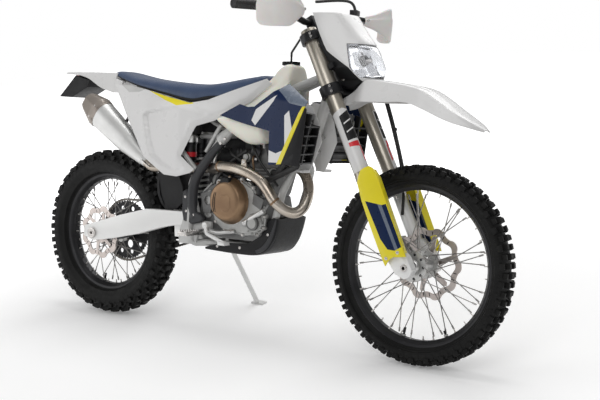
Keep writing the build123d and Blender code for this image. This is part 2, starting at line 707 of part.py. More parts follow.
with BuildPart() as chain_guide:
    slab([(guide_x - 30, 350), (guide_x + 30, 352), (guide_x + 26, guide_z - 12),
          (guide_x - 26, guide_z - 26)], 72, arm_rear_inner - 4.5)
    slab([chain_point(2 * straight_run + front_arc - reach, rise) for reach, rise in
          [(40, 8), (220, 8), (220, -8), (40, -8)]], chain_side - 9, chain_side + 9, Mode.SUBTRACT)

with BuildPart() as rear_caliper:
    slab([(rear_axle.X + 101, 410), (rear_axle.X + 156, 400), (rear_axle.X + 166, 340),
          (rear_axle.X + 116, 325)], -arm_rear_inner + running_gap, -58)
    cross_pin((rear_axle.X, rear_axle.Z), rear_disc_radius + 3,
              -rear_disc_side - disc_thickness - 2, -rear_disc_side + 2, Mode.SUBTRACT)

# Airbox under the seat with its rear wall, and the boot to the cylinder.
airbox_half = rail_front[1] - rail_radius - running_gap

with BuildPart() as airbox:
    slab([(-306, 836), (-225, 850), (-112, 850), (-112, 790), (-150, 778), (-225, 780),
          (-225, 828), (-300, 824), (-330, 600), (-320, 470), (-326, 470), (-338, 600)],
         -airbox_half, airbox_half)

with BuildPart() as throttle_body:
    slab([(-112 + running_gap, 815), (-112 + running_gap, 792), (-95, 700), (25 - running_gap, 690),
          (25 - running_gap, 728), (-78, 745), (-94, 815)], -30, 30)

# ============================ steering body ==================================
leg_places = [(leg_ahead, -leg_spread), (leg_ahead, leg_spread)]

with BuildPart() as triple_clamps:
    for bottom, top in [(lower_clamp_bottom, lower_clamp_top), (upper_clamp_bottom, upper_clamp_top)]:
        with BuildSketch(fork.offset(bottom)) as clamp:
            with Locations(*leg_places):
                Circle(outer_tube_radius + clamp_wall)
            with Locations((18, 0)):
                Rectangle(44, 2 * leg_spread)
            Circle(stem_boss_radius)
            with Locations(*leg_places):
                Circle(outer_tube_radius + axle_fit, mode=Mode.SUBTRACT)
        extrude(clamp.sketch, amount=top - bottom)
    with BuildSketch(fork.offset(lower_clamp_bottom)) as stem:
        Circle(stem_radius)
    extrude(stem.sketch, amount=upper_clamp_top + 12 - lower_clamp_bottom)

with BuildPart() as fork_outer_tubes:
    with BuildSketch(fork.offset(outer_tube_bottom)) as legs:
        with Locations(*leg_places):
            Circle(outer_tube_radius)
    extrude(legs.sketch, amount=outer_tube_top - outer_tube_bottom)
    with BuildSketch(fork.offset(outer_tube_bottom)) as bores:
        with Locations(*leg_places):
            Circle(inner_tube_radius + running_gap)
    extrude(bores.sketch, amount=200, mode=Mode.SUBTRACT)

fork_lug = [(-4, lug_top), (50, lug_top), (76, 30), (78, -18), (60, -34), (36, -34), (12, -8)]
lug_inner = leg_spread - 18
lug_outer = leg_spread + 16

with BuildPart() as fork_lower_legs:
    with BuildSketch(fork.offset(lug_top - 10)) as tubes:
        with Locations(*leg_places):
            Circle(inner_tube_radius)
    extrude(tubes.sketch, amount=outer_tube_bottom + 190 - lug_top)
    fork_slab(fork_lug, lug_inner, lug_outer)
    fork_slab(fork_lug, -lug_outer, -lug_inner)
    cross_pin((front_axle.X, front_axle.Z), axle_radius + axle_fit, -140, 140, Mode.SUBTRACT)

front_barrel_half = 62

with BuildPart() as front_axle_shaft:
    cross_pin((front_axle.X, front_axle.Z), axle_radius, -front_axle_end, front_axle_end)
    cross_pin((front_axle.X, front_axle.Z), 17, front_barrel_half + running_gap, lug_inner - running_gap)
    cross_pin((front_axle.X, front_axle.Z), 17, running_gap - lug_inner, -front_barrel_half - running_gap)
    cross_pin((front_axle.X, front_axle.Z), axle_bore_radius, -front_axle_end, front_axle_end,
              Mode.SUBTRACT)

guard_face = 126

with BuildPart() as fork_guards:
    fork_slab([(-6, 30), (40, 45), (84, 30), (86, 120), (94, 320), (78, 366), (40, 366), (10, 330),
               (-4, 200)], guard_face, guard_face + 8)
    fork_slab([(80, 50), (86, 50), (94, 320), (78, 366), (72, 366), (86, 320)], 98, guard_face + 2)
    fork_slab([(36, 60), (60, 60), (60, 44), (36, 44)], lug_outer + running_gap, guard_face + 1)
    mirror(about=Plane.XZ)

with BuildPart() as front_caliper:
    fork_slab([(-60, 130), (-10, 130), (-4.3, lug_top), (1.1, 60), (-52, 60)], 44, 92)
    cross_pin((front_axle.X, front_axle.Z), front_disc_radius + 3,
              front_disc_side - 2, front_disc_side + disc_thickness + 2, Mode.SUBTRACT)

bar_radius = 12
bar_clamp = on_fork(20, 95, upper_clamp_top + 51)
bar_bend = on_fork(15.5, 215, upper_clamp_top + 100)
bar_end = on_fork(-37, 402, upper_clamp_top + 120)
bar_rise = (bar_bend - bar_clamp).normalized()
bar_along = (bar_end - bar_bend).normalized()
grip_inner = bar_bend + bar_along * 73
perch = bar_bend + bar_along * 28
guard_ring = bar_clamp + bar_rise * 96

with BuildPart() as handlebar:
    bar([other_side(bar_end), other_side(bar_bend), other_side(bar_clamp), bar_clamp, bar_bend,
         bar_end], 45, bar_radius)

with BuildPart() as grips:
    for length, sleeve_radius in [((bar_end - grip_inner).length, 17), (6, 24)]:
        with BuildSketch(Plane(origin=grip_inner, z_dir=bar_along)) as sleeve:
            Circle(sleeve_radius)
            Circle(bar_radius + running_gap, mode=Mode.SUBTRACT)
        extrude(sleeve.sketch, amount=length)
    mirror(about=Plane.XZ)

# Lever perches with their master cylinders, one on each side of the handlebar.
perch_face = Plane(origin=perch - bar_along * 11, x_dir=(1, 0, 0), z_dir=bar_along)
cylinder_length = 44
hose_port = perch_face.from_local_coords(Vector(27, -6, 22 - cylinder_length - running_gap))

with BuildPart() as control_levers:
    with BuildSketch(perch_face) as clamp_ring:
        Circle(18)
        with Locations((23, -2)):
            Rectangle(30, 16)
        Circle(bar_radius + axle_fit, mode=Mode.SUBTRACT)
    extrude(clamp_ring.sketch, amount=22)
    with BuildSketch(perch_face.offset(22 - cylinder_length)) as master:
        with Locations((27, -6)):
            Rectangle(22, 20)
        with Locations((27, -24)):
            Rectangle(28, 18)
    extrude(master.sketch, amount=cylinder_length)
    bar([perch_face.from_local_coords(Vector(32, 2, 16)), perch_face.from_local_coords(Vector(46, 0, 40)),
         bar_end - bar_along * 38 + Vector(54, 0, -12)], 14, 5)
    mirror(about=Plane.XZ)

with BuildPart() as bar_mounts:
    fork_slab([(2, upper_clamp_top), (40, upper_clamp_top), (38, upper_clamp_top + 72),
               (4, upper_clamp_top + 72)], 32, 66)
    mirror(about=Plane.XZ)
    cross_pin((bar_clamp.X, bar_clamp.Z), bar_radius + axle_fit, -80, 80, Mode.SUBTRACT)

guard_plan = [(100, 225), (104, 290), (83, 345), (28, 378), (0, 384), (0, 380), (26, 374), (80, 342),
              (100, 289), (96, 225)]

with BuildPart() as handguards:
    with BuildSketch(Plane.XY.offset(bar_bend.Z - 76)) as guard_sketch:
        with BuildLine():
            Polyline(*[(bar_bend.X + ahead, out) for ahead, out in guard_plan], close=True)
        make_face()
    extrude(guard_sketch.sketch, amount=120)
    with BuildSketch(Plane(origin=guard_ring - bar_rise * 7, x_dir=(1, 0, 0), z_dir=bar_rise)) as clip:
        Circle(17)
        with Locations((22, 0)):
            Rectangle(24, 13)
        Circle(bar_radius + axle_fit, mode=Mode.SUBTRACT)
    extrude(clip.sketch, amount=14)
    bar([guard_ring + Vector(26, 4, -2), guard_ring + Vector(60, 14, -10),
         Vector(bar_bend.X + 98, 232, guard_ring.Z - 14)], 20, 6)
    mirror(about=Plane.XZ)

# Headlight cowl: one shell in rows of (z, rear x, front x, rear half, front half). The mask
# is the part ahead of the seam, the bracket is the part behind it, back to the fork.
cowl_rows = [(985, 517, 547, 58, 44), (1024, 470, 552, 92, 46), (1110, 385, 506, 110, 52),
             (1150, 362, 458, 112, 58), (1232, 318, 344, 108, 72)]
cowl_seam = [(514, 980), (480, 1021), (395, 1081), (361, 1150)]
tube_front = leg_ahead + outer_tube_radius


def cowl():
    """Loft the cowl's shell, its sides running back to the fork tubes."""
    faces = []
    for z, rear, front, rear_half, front_half in cowl_rows:
        back = steer_foot.X + (tube_front + 1 - (z - steer_foot.Z) * fork_forward.Z) / fork_forward.X
        with BuildSketch(Plane.XY.offset(z)) as row:
            with BuildLine():
                Polyline((back, -rear_half), (rear, -rear_half), (front, -front_half),
                         (front, front_half), (rear, rear_half), (back, rear_half),
                         (back, rear_half - 4), (rear - 1, rear_half - 4), (front - 4, front_half - 3),
                         (front - 4, 3 - front_half), (rear - 1, 4 - rear_half), (back, 4 - rear_half),
                         close=True)
            make_face()
        faces.append(row.sketch.face())
    loft(faces, ruled=True)


with BuildPart() as headlight_mask:
    cowl()
    slab(cowl_seam + [(318, 1240), (600, 1240), (600, 980)], -200, 200, Mode.INTERSECT)
    slab([(420, 1106), (600, 1106), (600, 994), (420, 994)], -40, 40, Mode.SUBTRACT)

with BuildPart() as headlight:
    faces = []
    for z, front in [(996, 546), (1024, 550), (1104, 508)]:
        with BuildSketch(Plane.XY.offset(z)) as row:
            with Locations((front - 30, 0)):
                Rectangle(60, 80 - 2 * running_gap)
        faces.append(row.sketch.face())
    loft(faces, ruled=True)

with BuildPart() as headlight_bracket:
    cowl()
    slab([(x - running_gap, z) for x, z in cowl_seam] + [(250, 1152), (250, 980)],
         -200, 200, Mode.INTERSECT)
    fork_slab([(0, upper_clamp_bottom - 2), (64, upper_clamp_bottom - 2), (64, outer_tube_top),
               (0, outer_tube_top)], -150, 150, Mode.SUBTRACT)
    for rise, reach in ((745, 22), (828, 14)):
        fork_slab([(tube_front + running_gap, rise), (tube_front + reach, rise),
                   (tube_front + reach, rise + 20), (tube_front + running_gap, rise + 20)], -108, 108)

fender_base = on_fork(60, 0, lower_clamp_bottom)

with BuildPart() as front_fender:
    channel([(fender_base.X + ahead, half, fender_base.Z + top, fender_base.Z + edge)
             for ahead, half, top, edge in [
                 (-61, 60, -40, -63), (19, 60, 5, -34), (79, 95, 45, -34), (166, 98, 39, -34),
                 (255, 96, 25, -33), (310, 92, 11, -52), (404, 80, -37, -82), (484, 50, -89, -104),
                 (516, 22, -115, -120)]], plastic_wall)
    fork_slab([(-20, lower_clamp_bottom - running_gap), (40, lower_clamp_bottom - running_gap),
               (40, lower_clamp_bottom - 15), (-20, lower_clamp_bottom - 15)], -30, 30)

hose_radius = 4

with BuildPart() as front_brake_hose:
    bar([other_side(hose_port), other_side(hose_port - bar_along * 24), (330, -90, 1256), (389, 40, 1267),
         (409, 60, 1204), (420, 96, 1150), (416, 112, 1115), (459, 106, 1033), (490, 96, 990),
         (518, 98, 918), (556, 98, 811), (599, 88, 688), (622, 74, 600), (626, 64, 511),
         on_fork(-34, 66, 158), on_fork(-34, 66, 130 + running_gap)], 16, hose_radius)

stem_end = on_fork(0, 0, upper_clamp_top + 12 + running_gap)

with BuildPart() as breather_hose:
    bar([(cap_centre[0], 0, cap_centre[2] + 14 + running_gap), (cap_centre[0], 0, 1085),
         (215, 0, 1150), stem_end + fork_up * 22, stem_end], 12, hose_radius)

hose_joint = (112, -104)

with BuildPart() as coolant_hose:
    bar([(288, -112, 692.2), (288, -112, 670), (215, -98, 640), (150, -98, 612),
         (hose_joint[0], hose_joint[1], 586), (hose_joint[0], hose_joint[1], 557)], 14, 11)


# ============================ wheels =========================================
def wheel_set(centre, tyre_radius, half_width, crown, flange_radius, rim_half):
    """The tyre and rim of one wheel."""
    with BuildPart() as tyre:
        knobby_tyre(centre, tyre_radius, half_width, crown, flange_radius, rim_half)
    with BuildPart() as rim:
        with BuildSketch(Plane(origin=centre, x_dir=(0, 1, 0), z_dir=(1, 0, 0))) as section:
            with BuildLine():
                Polyline(*rim_section(flange_radius, rim_half), close=True)
            make_face()
        revolve(section.sketch, axis=Axis(centre, (0, 1, 0)))
    return tyre, rim


def hub(centre, barrel_half, right_flange, left_flange):
    """A hub barrel with its pierced spoke flanges and axle bore."""
    centre_xz = (centre.X, centre.Z)
    cross_pin(centre_xz, hub_barrel_radius, -barrel_half, barrel_half)
    cross_pin(centre_xz, 54, right_flange - 4, right_flange + 4)
    cross_pin(centre_xz, 50, left_flange - 4, left_flange + 4)
    cross_pin(centre_xz, axle_radius + axle_fit, -barrel_half, barrel_half, Mode.SUBTRACT)


def brake_disc(centre, radius, inner):
    """A wave disc: scalloped rim, two rings of holes, a carrier with arms to the barrel."""
    with BuildSketch(side.offset(-inner)) as blade:
        with Locations((centre.X, centre.Z)):
            Circle(radius)
            Circle(radius - 32, mode=Mode.SUBTRACT)
            Circle(hub_barrel_radius + 12)
            with PolarLocations(0.5 * (radius + hub_barrel_radius) - 8, 6):
                Rectangle(radius - hub_barrel_radius - 32, 13)
            with PolarLocations(radius + 5, 12):
                Circle(11, mode=Mode.SUBTRACT)
            with PolarLocations(radius - 20, 24):
                Circle(3, mode=Mode.SUBTRACT)
            Circle(hub_barrel_radius + running_gap, mode=Mode.SUBTRACT)
    extrude(blade.sketch, amount=-disc_thickness)


front_tyre, front_rim = wheel_set(front_axle, front_tyre_radius, front_tyre_half_width,
                                  front_crown_radius, front_flange_radius, front_rim_half_width)
rear_tyre, rear_rim = wheel_set(rear_axle, rear_tyre_radius, rear_tyre_half_width,
                                rear_crown_radius, rear_flange_radius, rear_rim_half_width)

with BuildPart() as front_hub:
    hub(front_axle, front_barrel_half, -48, 40)
    spoke_set(front_axle, -48, 48, 34, front_flange_radius - rim_depth - rim_wall - 1)
    spoke_set(front_axle, 40, 44, 34, front_flange_radius - rim_depth - rim_wall - 1)

with BuildPart() as front_disc:
    brake_disc(front_axle, front_disc_radius, front_disc_side)

with BuildPart() as rear_hub:
    hub(rear_axle, 84, -56, 50)
    spoke_set(rear_axle, -56, 48, 38, rear_flange_radius - rim_depth - rim_wall - 1)
    spoke_set(rear_axle, 50, 44, 38, rear_flange_radius - rim_depth - rim_wall - 1)

with BuildPart() as rear_disc:
    brake_disc(rear_axle, rear_disc_radius, -rear_disc_side - disc_thickness)

with BuildPart() as rear_sprocket:
    teeth = []
    for step in range(2 * sprocket_teeth):
        turn = pi * (step + 0.5) / sprocket_teeth
        reach = sprocket_radius - (0 if step % 2 else 6)
        teeth.append((rear_axle.X + reach * cos(turn), rear_axle.Z + reach * sin(turn)))
    slab(teeth, chain_side - 3, chain_side + 3)
    pin_ring((rear_axle.X, rear_axle.Z), 96, 10, 10, chain_side - 3, chain_side + 3)
    pin_ring((rear_axle.X, rear_axle.Z), 62, 5, 17, chain_side - 3, chain_side + 3)
    cross_pin((rear_axle.X, rear_axle.Z), hub_barrel_radius + running_gap, chain_side - 3,
              chain_side + 3, Mode.SUBTRACT)

# ============================ side stand =====================================
with BuildPart() as side_stand:
    with BuildSketch(Plane(origin=stand_pivot, z_dir=stand_down)) as leg:
        Circle(stand_leg_radius)
    extrude(leg.sketch, amount=stand_length - 12)
    with BuildSketch(Plane(origin=stand_pivot - stand_axis * stand_eye_half,
                           z_dir=stand_axis)) as eye:
        Circle(17)
    extrude(eye.sketch, amount=2 * stand_eye_half)
    with BuildSketch(Plane(origin=stand_foot, x_dir=(1, 0, 0), z_dir=ground_up)) as foot:
        with Locations((0, 7)):
            Rectangle(60, 34)
    extrude(foot.sketch, amount=foot_height)

# ============================ park and export ================================
pieces = {
    "main_frame": main_frame, "subframe": subframe, "swingarm": swingarm,
    "rear_axle": rear_axle_shaft, "shock": shock, "shock_linkage": shock_linkage,
    "engine_cases": engine_cases, "cylinder": cylinder, "engine_covers": engine_covers,
    "exhaust_header": exhaust_header, "silencer": silencer,
    "radiators": radiators, "radiator_guards": radiator_guards, "air_guides": air_guides,
    "fuel_tank": fuel_tank, "filler_cap": filler_cap, "breather_hose": breather_hose,
    "coolant_hose": coolant_hose, "radiator_shrouds": radiator_shrouds,
    "side_panels": side_panels, "seat": seat, "rear_fender": rear_fender,
    "plate_holder": plate_holder, "tail_lamp": tail_lamp, "skid_plate": skid_plate,
    "frame_guards": frame_guards, "footpegs": footpegs, "foot_levers": foot_levers,
    "drive_chain": drive_chain, "chain_guide": chain_guide, "rear_caliper": rear_caliper,
    "airbox": airbox, "throttle_body": throttle_body,
    "triple_clamps": triple_clamps, "fork_outer_tubes": fork_outer_tubes,
    "fork_lower_legs": fork_lower_legs, "fork_guards": fork_guards,
    "front_axle": front_axle_shaft, "front_caliper": front_caliper,
    "front_brake_hose": front_brake_hose, "handlebar": handlebar, "grips": grips,
    "control_levers": control_levers, "bar_mounts": bar_mounts, "handguards": handguards,
    "headlight_mask": headlight_mask, "headlight": headlight,
    "headlight_bracket": headlight_bracket, "front_fender": front_fender,
    "front_tyre": front_tyre, "front_rim": front_rim, "front_hub": front_hub,
    "front_disc": front_disc, "rear_tyre": rear_tyre, "rear_rim": rear_rim,
    "rear_hub": rear_hub, "rear_disc": rear_disc, "rear_sprocket": rear_sprocket,
    "side_stand": side_stand,
}

lean = Location((0, 0, 0), (-lean_angle, 0, 0))
for piece in pieces.values():
    piece.part.move(lean)

boxes = [piece.part.bounding_box() for piece in pieces.values()]
low_x = min(box.min.X for box in boxes)
high_x = max(box.max.X for box in boxes)
low_y = min(box.min.Y for box in boxes)
high_y = max(box.max.Y for box in boxes)
low_z = min(box.min.Z for box in boxes)
settle = Location((-(low_x + high_x) / 2, -(low_y + high_y) / 2, -low_z))

os.makedirs("parts", exist_ok=True)
for label, piece in pieces.items():
    piece.part.move(settle)
    piece.part.label = label
    export_step(piece.part, f"parts/{label}.step")
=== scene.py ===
import json
from math import cos, pi, radians, sin, sqrt

import bmesh
import bpy
from mathutils import Matrix, Vector

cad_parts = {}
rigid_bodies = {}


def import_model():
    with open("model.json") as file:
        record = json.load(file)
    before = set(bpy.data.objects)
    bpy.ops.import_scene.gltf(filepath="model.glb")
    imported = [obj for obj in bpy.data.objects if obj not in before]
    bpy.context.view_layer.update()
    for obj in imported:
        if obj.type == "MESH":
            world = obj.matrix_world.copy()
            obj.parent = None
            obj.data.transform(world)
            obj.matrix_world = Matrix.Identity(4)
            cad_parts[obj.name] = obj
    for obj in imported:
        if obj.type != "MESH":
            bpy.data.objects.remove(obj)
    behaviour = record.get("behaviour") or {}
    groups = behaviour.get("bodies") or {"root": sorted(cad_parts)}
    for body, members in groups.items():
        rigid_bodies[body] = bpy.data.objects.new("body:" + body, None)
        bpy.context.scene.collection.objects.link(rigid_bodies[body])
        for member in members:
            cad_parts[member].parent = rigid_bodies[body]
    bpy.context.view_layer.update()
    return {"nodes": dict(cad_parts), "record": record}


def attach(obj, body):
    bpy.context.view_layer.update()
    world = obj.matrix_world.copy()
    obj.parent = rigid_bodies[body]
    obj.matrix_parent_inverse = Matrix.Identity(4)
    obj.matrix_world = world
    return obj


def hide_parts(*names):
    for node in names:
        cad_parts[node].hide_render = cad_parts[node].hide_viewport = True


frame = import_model()
NODES = frame["nodes"]
JOINTS = {joint["name"]: joint for joint in frame["record"]["behaviour"]["joints"]}

# ---- upright millimetres to the parked frame -------------------------------
LEAN = radians(11)
FRONT = Vector((740.875, 0, 348.998))
REAR = Vector((-741, 0, 345))
tilt = Matrix.Rotation(-LEAN, 4, "X")
axle_place = Vector(JOINTS["rear_wheel_spin"]["pos_m"])
PARK = Matrix.Translation(axle_place - tilt @ (REAR / 1000)) @ tilt
MM = PARK @ Matrix.Scale(0.001, 4)
# The steering axis: its rake, its two directions and its point nearest to the front axle. The axle and the fork
# tubes stand ahead of it by their offsets, the tubes also to both sides.
RAKE = radians(26.5)
AXLE_OFFSET, TUBE_OFFSET, TUBE_SIDE = 52, 22, 96
AHEAD = Vector((cos(RAKE), 0, sin(RAKE)))
UP = Vector((-sin(RAKE), 0, cos(RAKE)))
FOOT = FRONT - AHEAD * AXLE_OFFSET


def on_fork(ahead, left, up):
    """A point ahead of the steering axis, to the left and up the axis, in upright millimetres."""
    return FOOT + AHEAD * ahead + UP * up + Vector((0, left, 0))


# ---- camera ----------------------------------------------------------------
CAMERA_PLACE = Vector((2.53981, -3.25855, 0.82297))
LENS_LENGTH, SENSOR_WIDTH = 64.706, 36
azimuth, elevation, roll = radians(35.3955), radians(4.0425), radians(1.8287)

bpy.context.scene.view_settings.view_transform = "Standard"
back = Vector((sin(azimuth) * cos(elevation), -cos(azimuth) * cos(elevation), sin(elevation)))
level = (-back).cross(Vector((0, 0, 1))).normalized()
rise = level.cross(-back)
right = level * cos(roll) + rise * sin(roll)
upward = rise * cos(roll) - level * sin(roll)
camera_data = bpy.data.cameras.new("camera")
camera_data.lens = LENS_LENGTH
camera_data.sensor_width = SENSOR_WIDTH
camera = bpy.data.objects.new("camera", camera_data)
pose = Matrix((right, upward, back)).transposed().to_4x4()
pose.translation = CAMERA_PLACE
camera.matrix_world = PARK @ pose
bpy.context.scene.collection.objects.link(camera)
bpy.context.scene.camera = camera


# ---- materials -------------------------------------------------------------
def material_tree(name):
    """A new material and its node tree."""
    material = bpy.data.materials.new(name)
    material.use_nodes = True
    return material, material.node_tree


def feed(tree, node, inputs):
    """Set a node's inputs to values or link them to other nodes' outputs, and give its own outputs."""
    for socket, value in inputs.items():
        if isinstance(value, bpy.types.NodeSocket):
            tree.links.new(value, node.inputs[socket])
        else:
            node.inputs[socket].default_value = value
    return node.outputs


def noise(tree, scale, detail=4, stretch=None):
    """A noise texture over object space, stretched along one way if asked."""
    place = tree.nodes.new("ShaderNodeTexCoord").outputs["Object"]
    if stretch:
        place = feed(tree, tree.nodes.new("ShaderNodeMapping"), {"Vector": place, "Scale": stretch})["Vector"]
    return feed(tree, tree.nodes.new("ShaderNodeTexNoise"),
                {"Vector": place, "Scale": scale, "Detail": detail})["Fac"]


def spread(tree, source, low, high):
    """Map the range most of a noise lies in onto low..high."""
    return feed(tree, tree.nodes.new("ShaderNodeMapRange"),
                {"Value": source, "From Min": 0.3, "From Max": 0.7, "To Min": low, "To Max": high})["Result"]


def bump(tree, height, strength, distance, under=None):
    """A bumped normal, laid over another one if given."""
    inputs = {"Height": height, "Strength": strength, "Distance": distance}
    if under:
        inputs["Normal"] = under
    return feed(tree, tree.nodes.new("ShaderNodeBump"), inputs)["Normal"]


def finish_of(name, colour, worn, rough, metallic=0.0, grain=900, depth=0.05, coat=0.0, patch=14,
              stretch=None, scratch=0.0, **extra):
    """A finish with mottled colour, uneven roughness, grain and fine scratches."""
    material, tree = material_tree(name)
    mix = tree.nodes.new("ShaderNodeMix")
    mix.data_type = "RGBA"
    mottle = spread(tree, noise(tree, patch, 6), 0, 1)
    normal = bump(tree, noise(tree, grain, 3, stretch), depth, 0.001)
    if scratch:
        normal = bump(tree, noise(tree, 60, 8, (1, 14, 3)), scratch, 0.0006, normal)
    feed(tree, tree.nodes["Principled BSDF"], {
        "Base Color": feed(tree, mix, {0: mottle, 6: (*colour, 1), 7: (*worn, 1)})[2],
        "Roughness": spread(tree, noise(tree, patch * 5, 5), *rough),
        "Metallic": metallic, "Coat Weight": coat, "Normal": normal,
        **{socket.replace("_", " "): value for socket, value in extra.items()}})
    return material


def lens_material(name, tint, rough):
    """A clear, tinted moulding with uneven polish."""
    material, tree = material_tree(name)
    feed(tree, tree.nodes["Principled BSDF"],
         {"Base Color": (*tint, 1), "Transmission Weight": 0.95, "IOR": 1.45,
          "Roughness": spread(tree, noise(tree, 40), *rough)})
    return material


WHITE = finish_of("white_plastic", (0.72, 0.715, 0.71), (0.705, 0.70, 0.695), (0.26, 0.34), grain=700, depth=0.02,
                  coat=0.2, patch=5, scratch=0.003)
BLACK = finish_of("black_plastic", (0.008, 0.008, 0.009), (0.013, 0.013, 0.014), (0.38, 0.5), grain=1400,
                  depth=0.16, Specular_IOR_Level=0.22)
GREY = finish_of("grey_plastic", (0.024, 0.025, 0.028), (0.034, 0.035, 0.038), (0.4, 0.52), grain=1400, depth=0.16,
                 Specular_IOR_Level=0.4)
NAVY = finish_of("navy_plastic", (0.006, 0.017, 0.060), (0.008, 0.020, 0.067), (0.26, 0.34), depth=0.02,
                 Specular_IOR_Level=0.16)
YELLOW = finish_of("yellow_plastic", (0.84, 0.72, 0.012), (0.79, 0.67, 0.01), (0.28, 0.4), coat=0.2, depth=0.03,
                   scratch=0.03)
RED = finish_of("red_print", (0.70, 0.02, 0.03), (0.60, 0.02, 0.03), (0.3, 0.4), depth=0.02)
# A light blue-grey used as a painted highlight on navy facets that face the light, not a printed colour.
NAVY_PAINTED_HIGHLIGHT = finish_of("blue_grey_print", (0.13, 0.16, 0.21), (0.16, 0.19, 0.24), (0.22, 0.3), depth=0.02)
TANK = finish_of("tank_plastic", (0.88, 0.86, 0.77), (0.84, 0.82, 0.72), (0.35, 0.5), grain=700, depth=0.06,
                 Subsurface_Weight=0.25, Subsurface_Scale=0.01)
GUARD = finish_of("handguard_plastic", (0.78, 0.78, 0.76), (0.73, 0.73, 0.71), (0.4, 0.55), depth=0.08,
                  Subsurface_Weight=0.3, Subsurface_Scale=0.006)
SEAT = finish_of("seat_cover", (0.020, 0.044, 0.105), (0.028, 0.057, 0.128), (0.36, 0.5), grain=1100, depth=0.5,
                 Sheen_Weight=0.15)
FRAME = finish_of("frame_paint", (0.55, 0.55, 0.54), (0.48, 0.48, 0.47), (0.38, 0.5), metallic=0.2, grain=1200,
                  depth=0.1)
DARK_METAL = finish_of("black_metal", (0.018, 0.018, 0.020), (0.03, 0.03, 0.032), (0.3, 0.42), metallic=0.6,
                       grain=1500, depth=0.06)
CAST = finish_of("cast_metal", (0.42, 0.42, 0.41), (0.34, 0.34, 0.33), (0.42, 0.6), metallic=0.75, grain=1300,
                 depth=0.35)
BRIGHT = finish_of("bright_metal", (0.62, 0.62, 0.61), (0.52, 0.52, 0.51), (0.26, 0.4), metallic=0.9, grain=700,
                   depth=0.12, stretch=(1, 8, 8))
CAN = finish_of("brushed_can", (0.68, 0.68, 0.67), (0.62, 0.62, 0.61), (0.4, 0.48), metallic=0.75, grain=700,
                depth=0.08, stretch=(1, 8, 8))
BRONZE = finish_of("bronze_metal", (0.20, 0.125, 0.075), (0.26, 0.17, 0.10), (0.3, 0.42), metallic=0.8, grain=1500,
                   depth=0.12)
FORK = finish_of("fork_metal", (0.43, 0.395, 0.34), (0.40, 0.37, 0.315), (0.30, 0.34), metallic=0.85,
                 depth=0.015, patch=3)
CASE = finish_of("dark_casting", (0.17, 0.17, 0.168), (0.12, 0.12, 0.118), (0.42, 0.58), metallic=0.7, grain=1300,
                 depth=0.35)
SILVER = finish_of("silver_paint", (0.84, 0.84, 0.83), (0.80, 0.80, 0.79), (0.34, 0.42), metallic=0.2,
                   depth=0.03, patch=4)
STEEL = finish_of("steel", (0.62, 0.60, 0.58), (0.52, 0.50, 0.48), (0.24, 0.36), metallic=1.0, grain=600,
                  depth=0.08, stretch=(2, 2, 14))
DISC = finish_of("disc_steel", (0.62, 0.56, 0.53), (0.54, 0.48, 0.45), (0.28, 0.4), metallic=1.0,
                 depth=0.12)
CHAIN = finish_of("chain_steel", (0.26, 0.24, 0.21), (0.12, 0.11, 0.10), (0.35, 0.55), metallic=0.9,
                  depth=0.1)
HEADER = finish_of("header_steel", (0.50, 0.46, 0.41), (0.36, 0.30, 0.24), (0.24, 0.36), metallic=1.0, patch=7,
                   grain=700, depth=0.06)
TYRE = finish_of("tyre_rubber", (0.005, 0.005, 0.005), (0.010, 0.010, 0.0096), (0.42, 0.62), grain=1600, depth=0.25,
                 Specular_IOR_Level=0.17)
RUBBER = finish_of("rubber", (0.014, 0.014, 0.014), (0.022, 0.022, 0.022), (0.45, 0.65), grain=1600, depth=0.2)
ENDCAP = finish_of("end_cap", (0.33, 0.29, 0.26), (0.27, 0.24, 0.21), (0.4, 0.55), metallic=0.7, grain=1200,
                   depth=0.15)
CORE = finish_of("radiator_core", (0.20, 0.20, 0.20), (0.12, 0.12, 0.12), (0.4, 0.6), metallic=0.8, grain=500,
                 depth=0.5, stretch=(1, 1, 9))
SPOKE = finish_of("spoke_steel", (0.34, 0.33, 0.32), (0.26, 0.25, 0.24), (0.25, 0.4), metallic=1.0)
MIRROR = finish_of("reflector", (0.60, 0.60, 0.61), (0.50, 0.50, 0.51), (0.12, 0.22), metallic=1.0, depth=0.02)
LENS = lens_material("lens", (0.97, 0.98, 1.0), (0.01, 0.05))
RED_LENS = lens_material("red_lens", (0.55, 0.02, 0.02), (0.05, 0.12))


# ---- mesh tools (all in upright millimetres) -------------------------------
def mesh_piece(name, verts, faces, body, materials, replaces=(), smooth=35, picks=None):
    """Make a mesh from upright millimetres and let it ride on a body."""
    mesh = bpy.data.meshes.new(name)
    mesh.from_pydata([tuple(v) for v in verts], [], faces)
    mesh.transform(MM)
    return place_mesh(mesh, name, body, materials, replaces, smooth, picks)


def place_mesh(mesh, name, body, materials, replaces, smooth, picks=None):
    """Shade a mesh that is in place already, and let it ride on a body; picks are its faces' materials."""
    for material in materials:
        mesh.materials.append(material)
    if picks:
        for face, pick in zip(mesh.polygons, picks):
            face.material_index = pick
    mesh.validate()
    mesh.update()
    mesh.shade_smooth()
    mesh.set_sharp_from_angle(angle=radians(smooth))
    piece = bpy.data.objects.new(name, mesh)
    bpy.context.scene.collection.objects.link(piece)
    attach(piece, body)
    if replaces:
        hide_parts(*replaces)
    return piece


def thicken(piece, wall, offset=-1.0, edge=0.0009):
    """Give a surface its wall and, if asked, eased edges, in metres."""
    solid = piece.modifiers.new("wall", "SOLIDIFY")
    solid.thickness = wall
    solid.offset = offset
    if edge:
        bevel = piece.modifiers.new("edge", "BEVEL")
        bevel.width = edge
        bevel.segments = 2
        bevel.limit_method = "ANGLE"
        bevel.angle_limit = radians(55)


def soften(piece):
    """Round a whole piece with one level of subdivision."""
    modifier = piece.modifiers.new("soften", "SUBSURF")
    modifier.levels = 1
    modifier.render_levels = 1


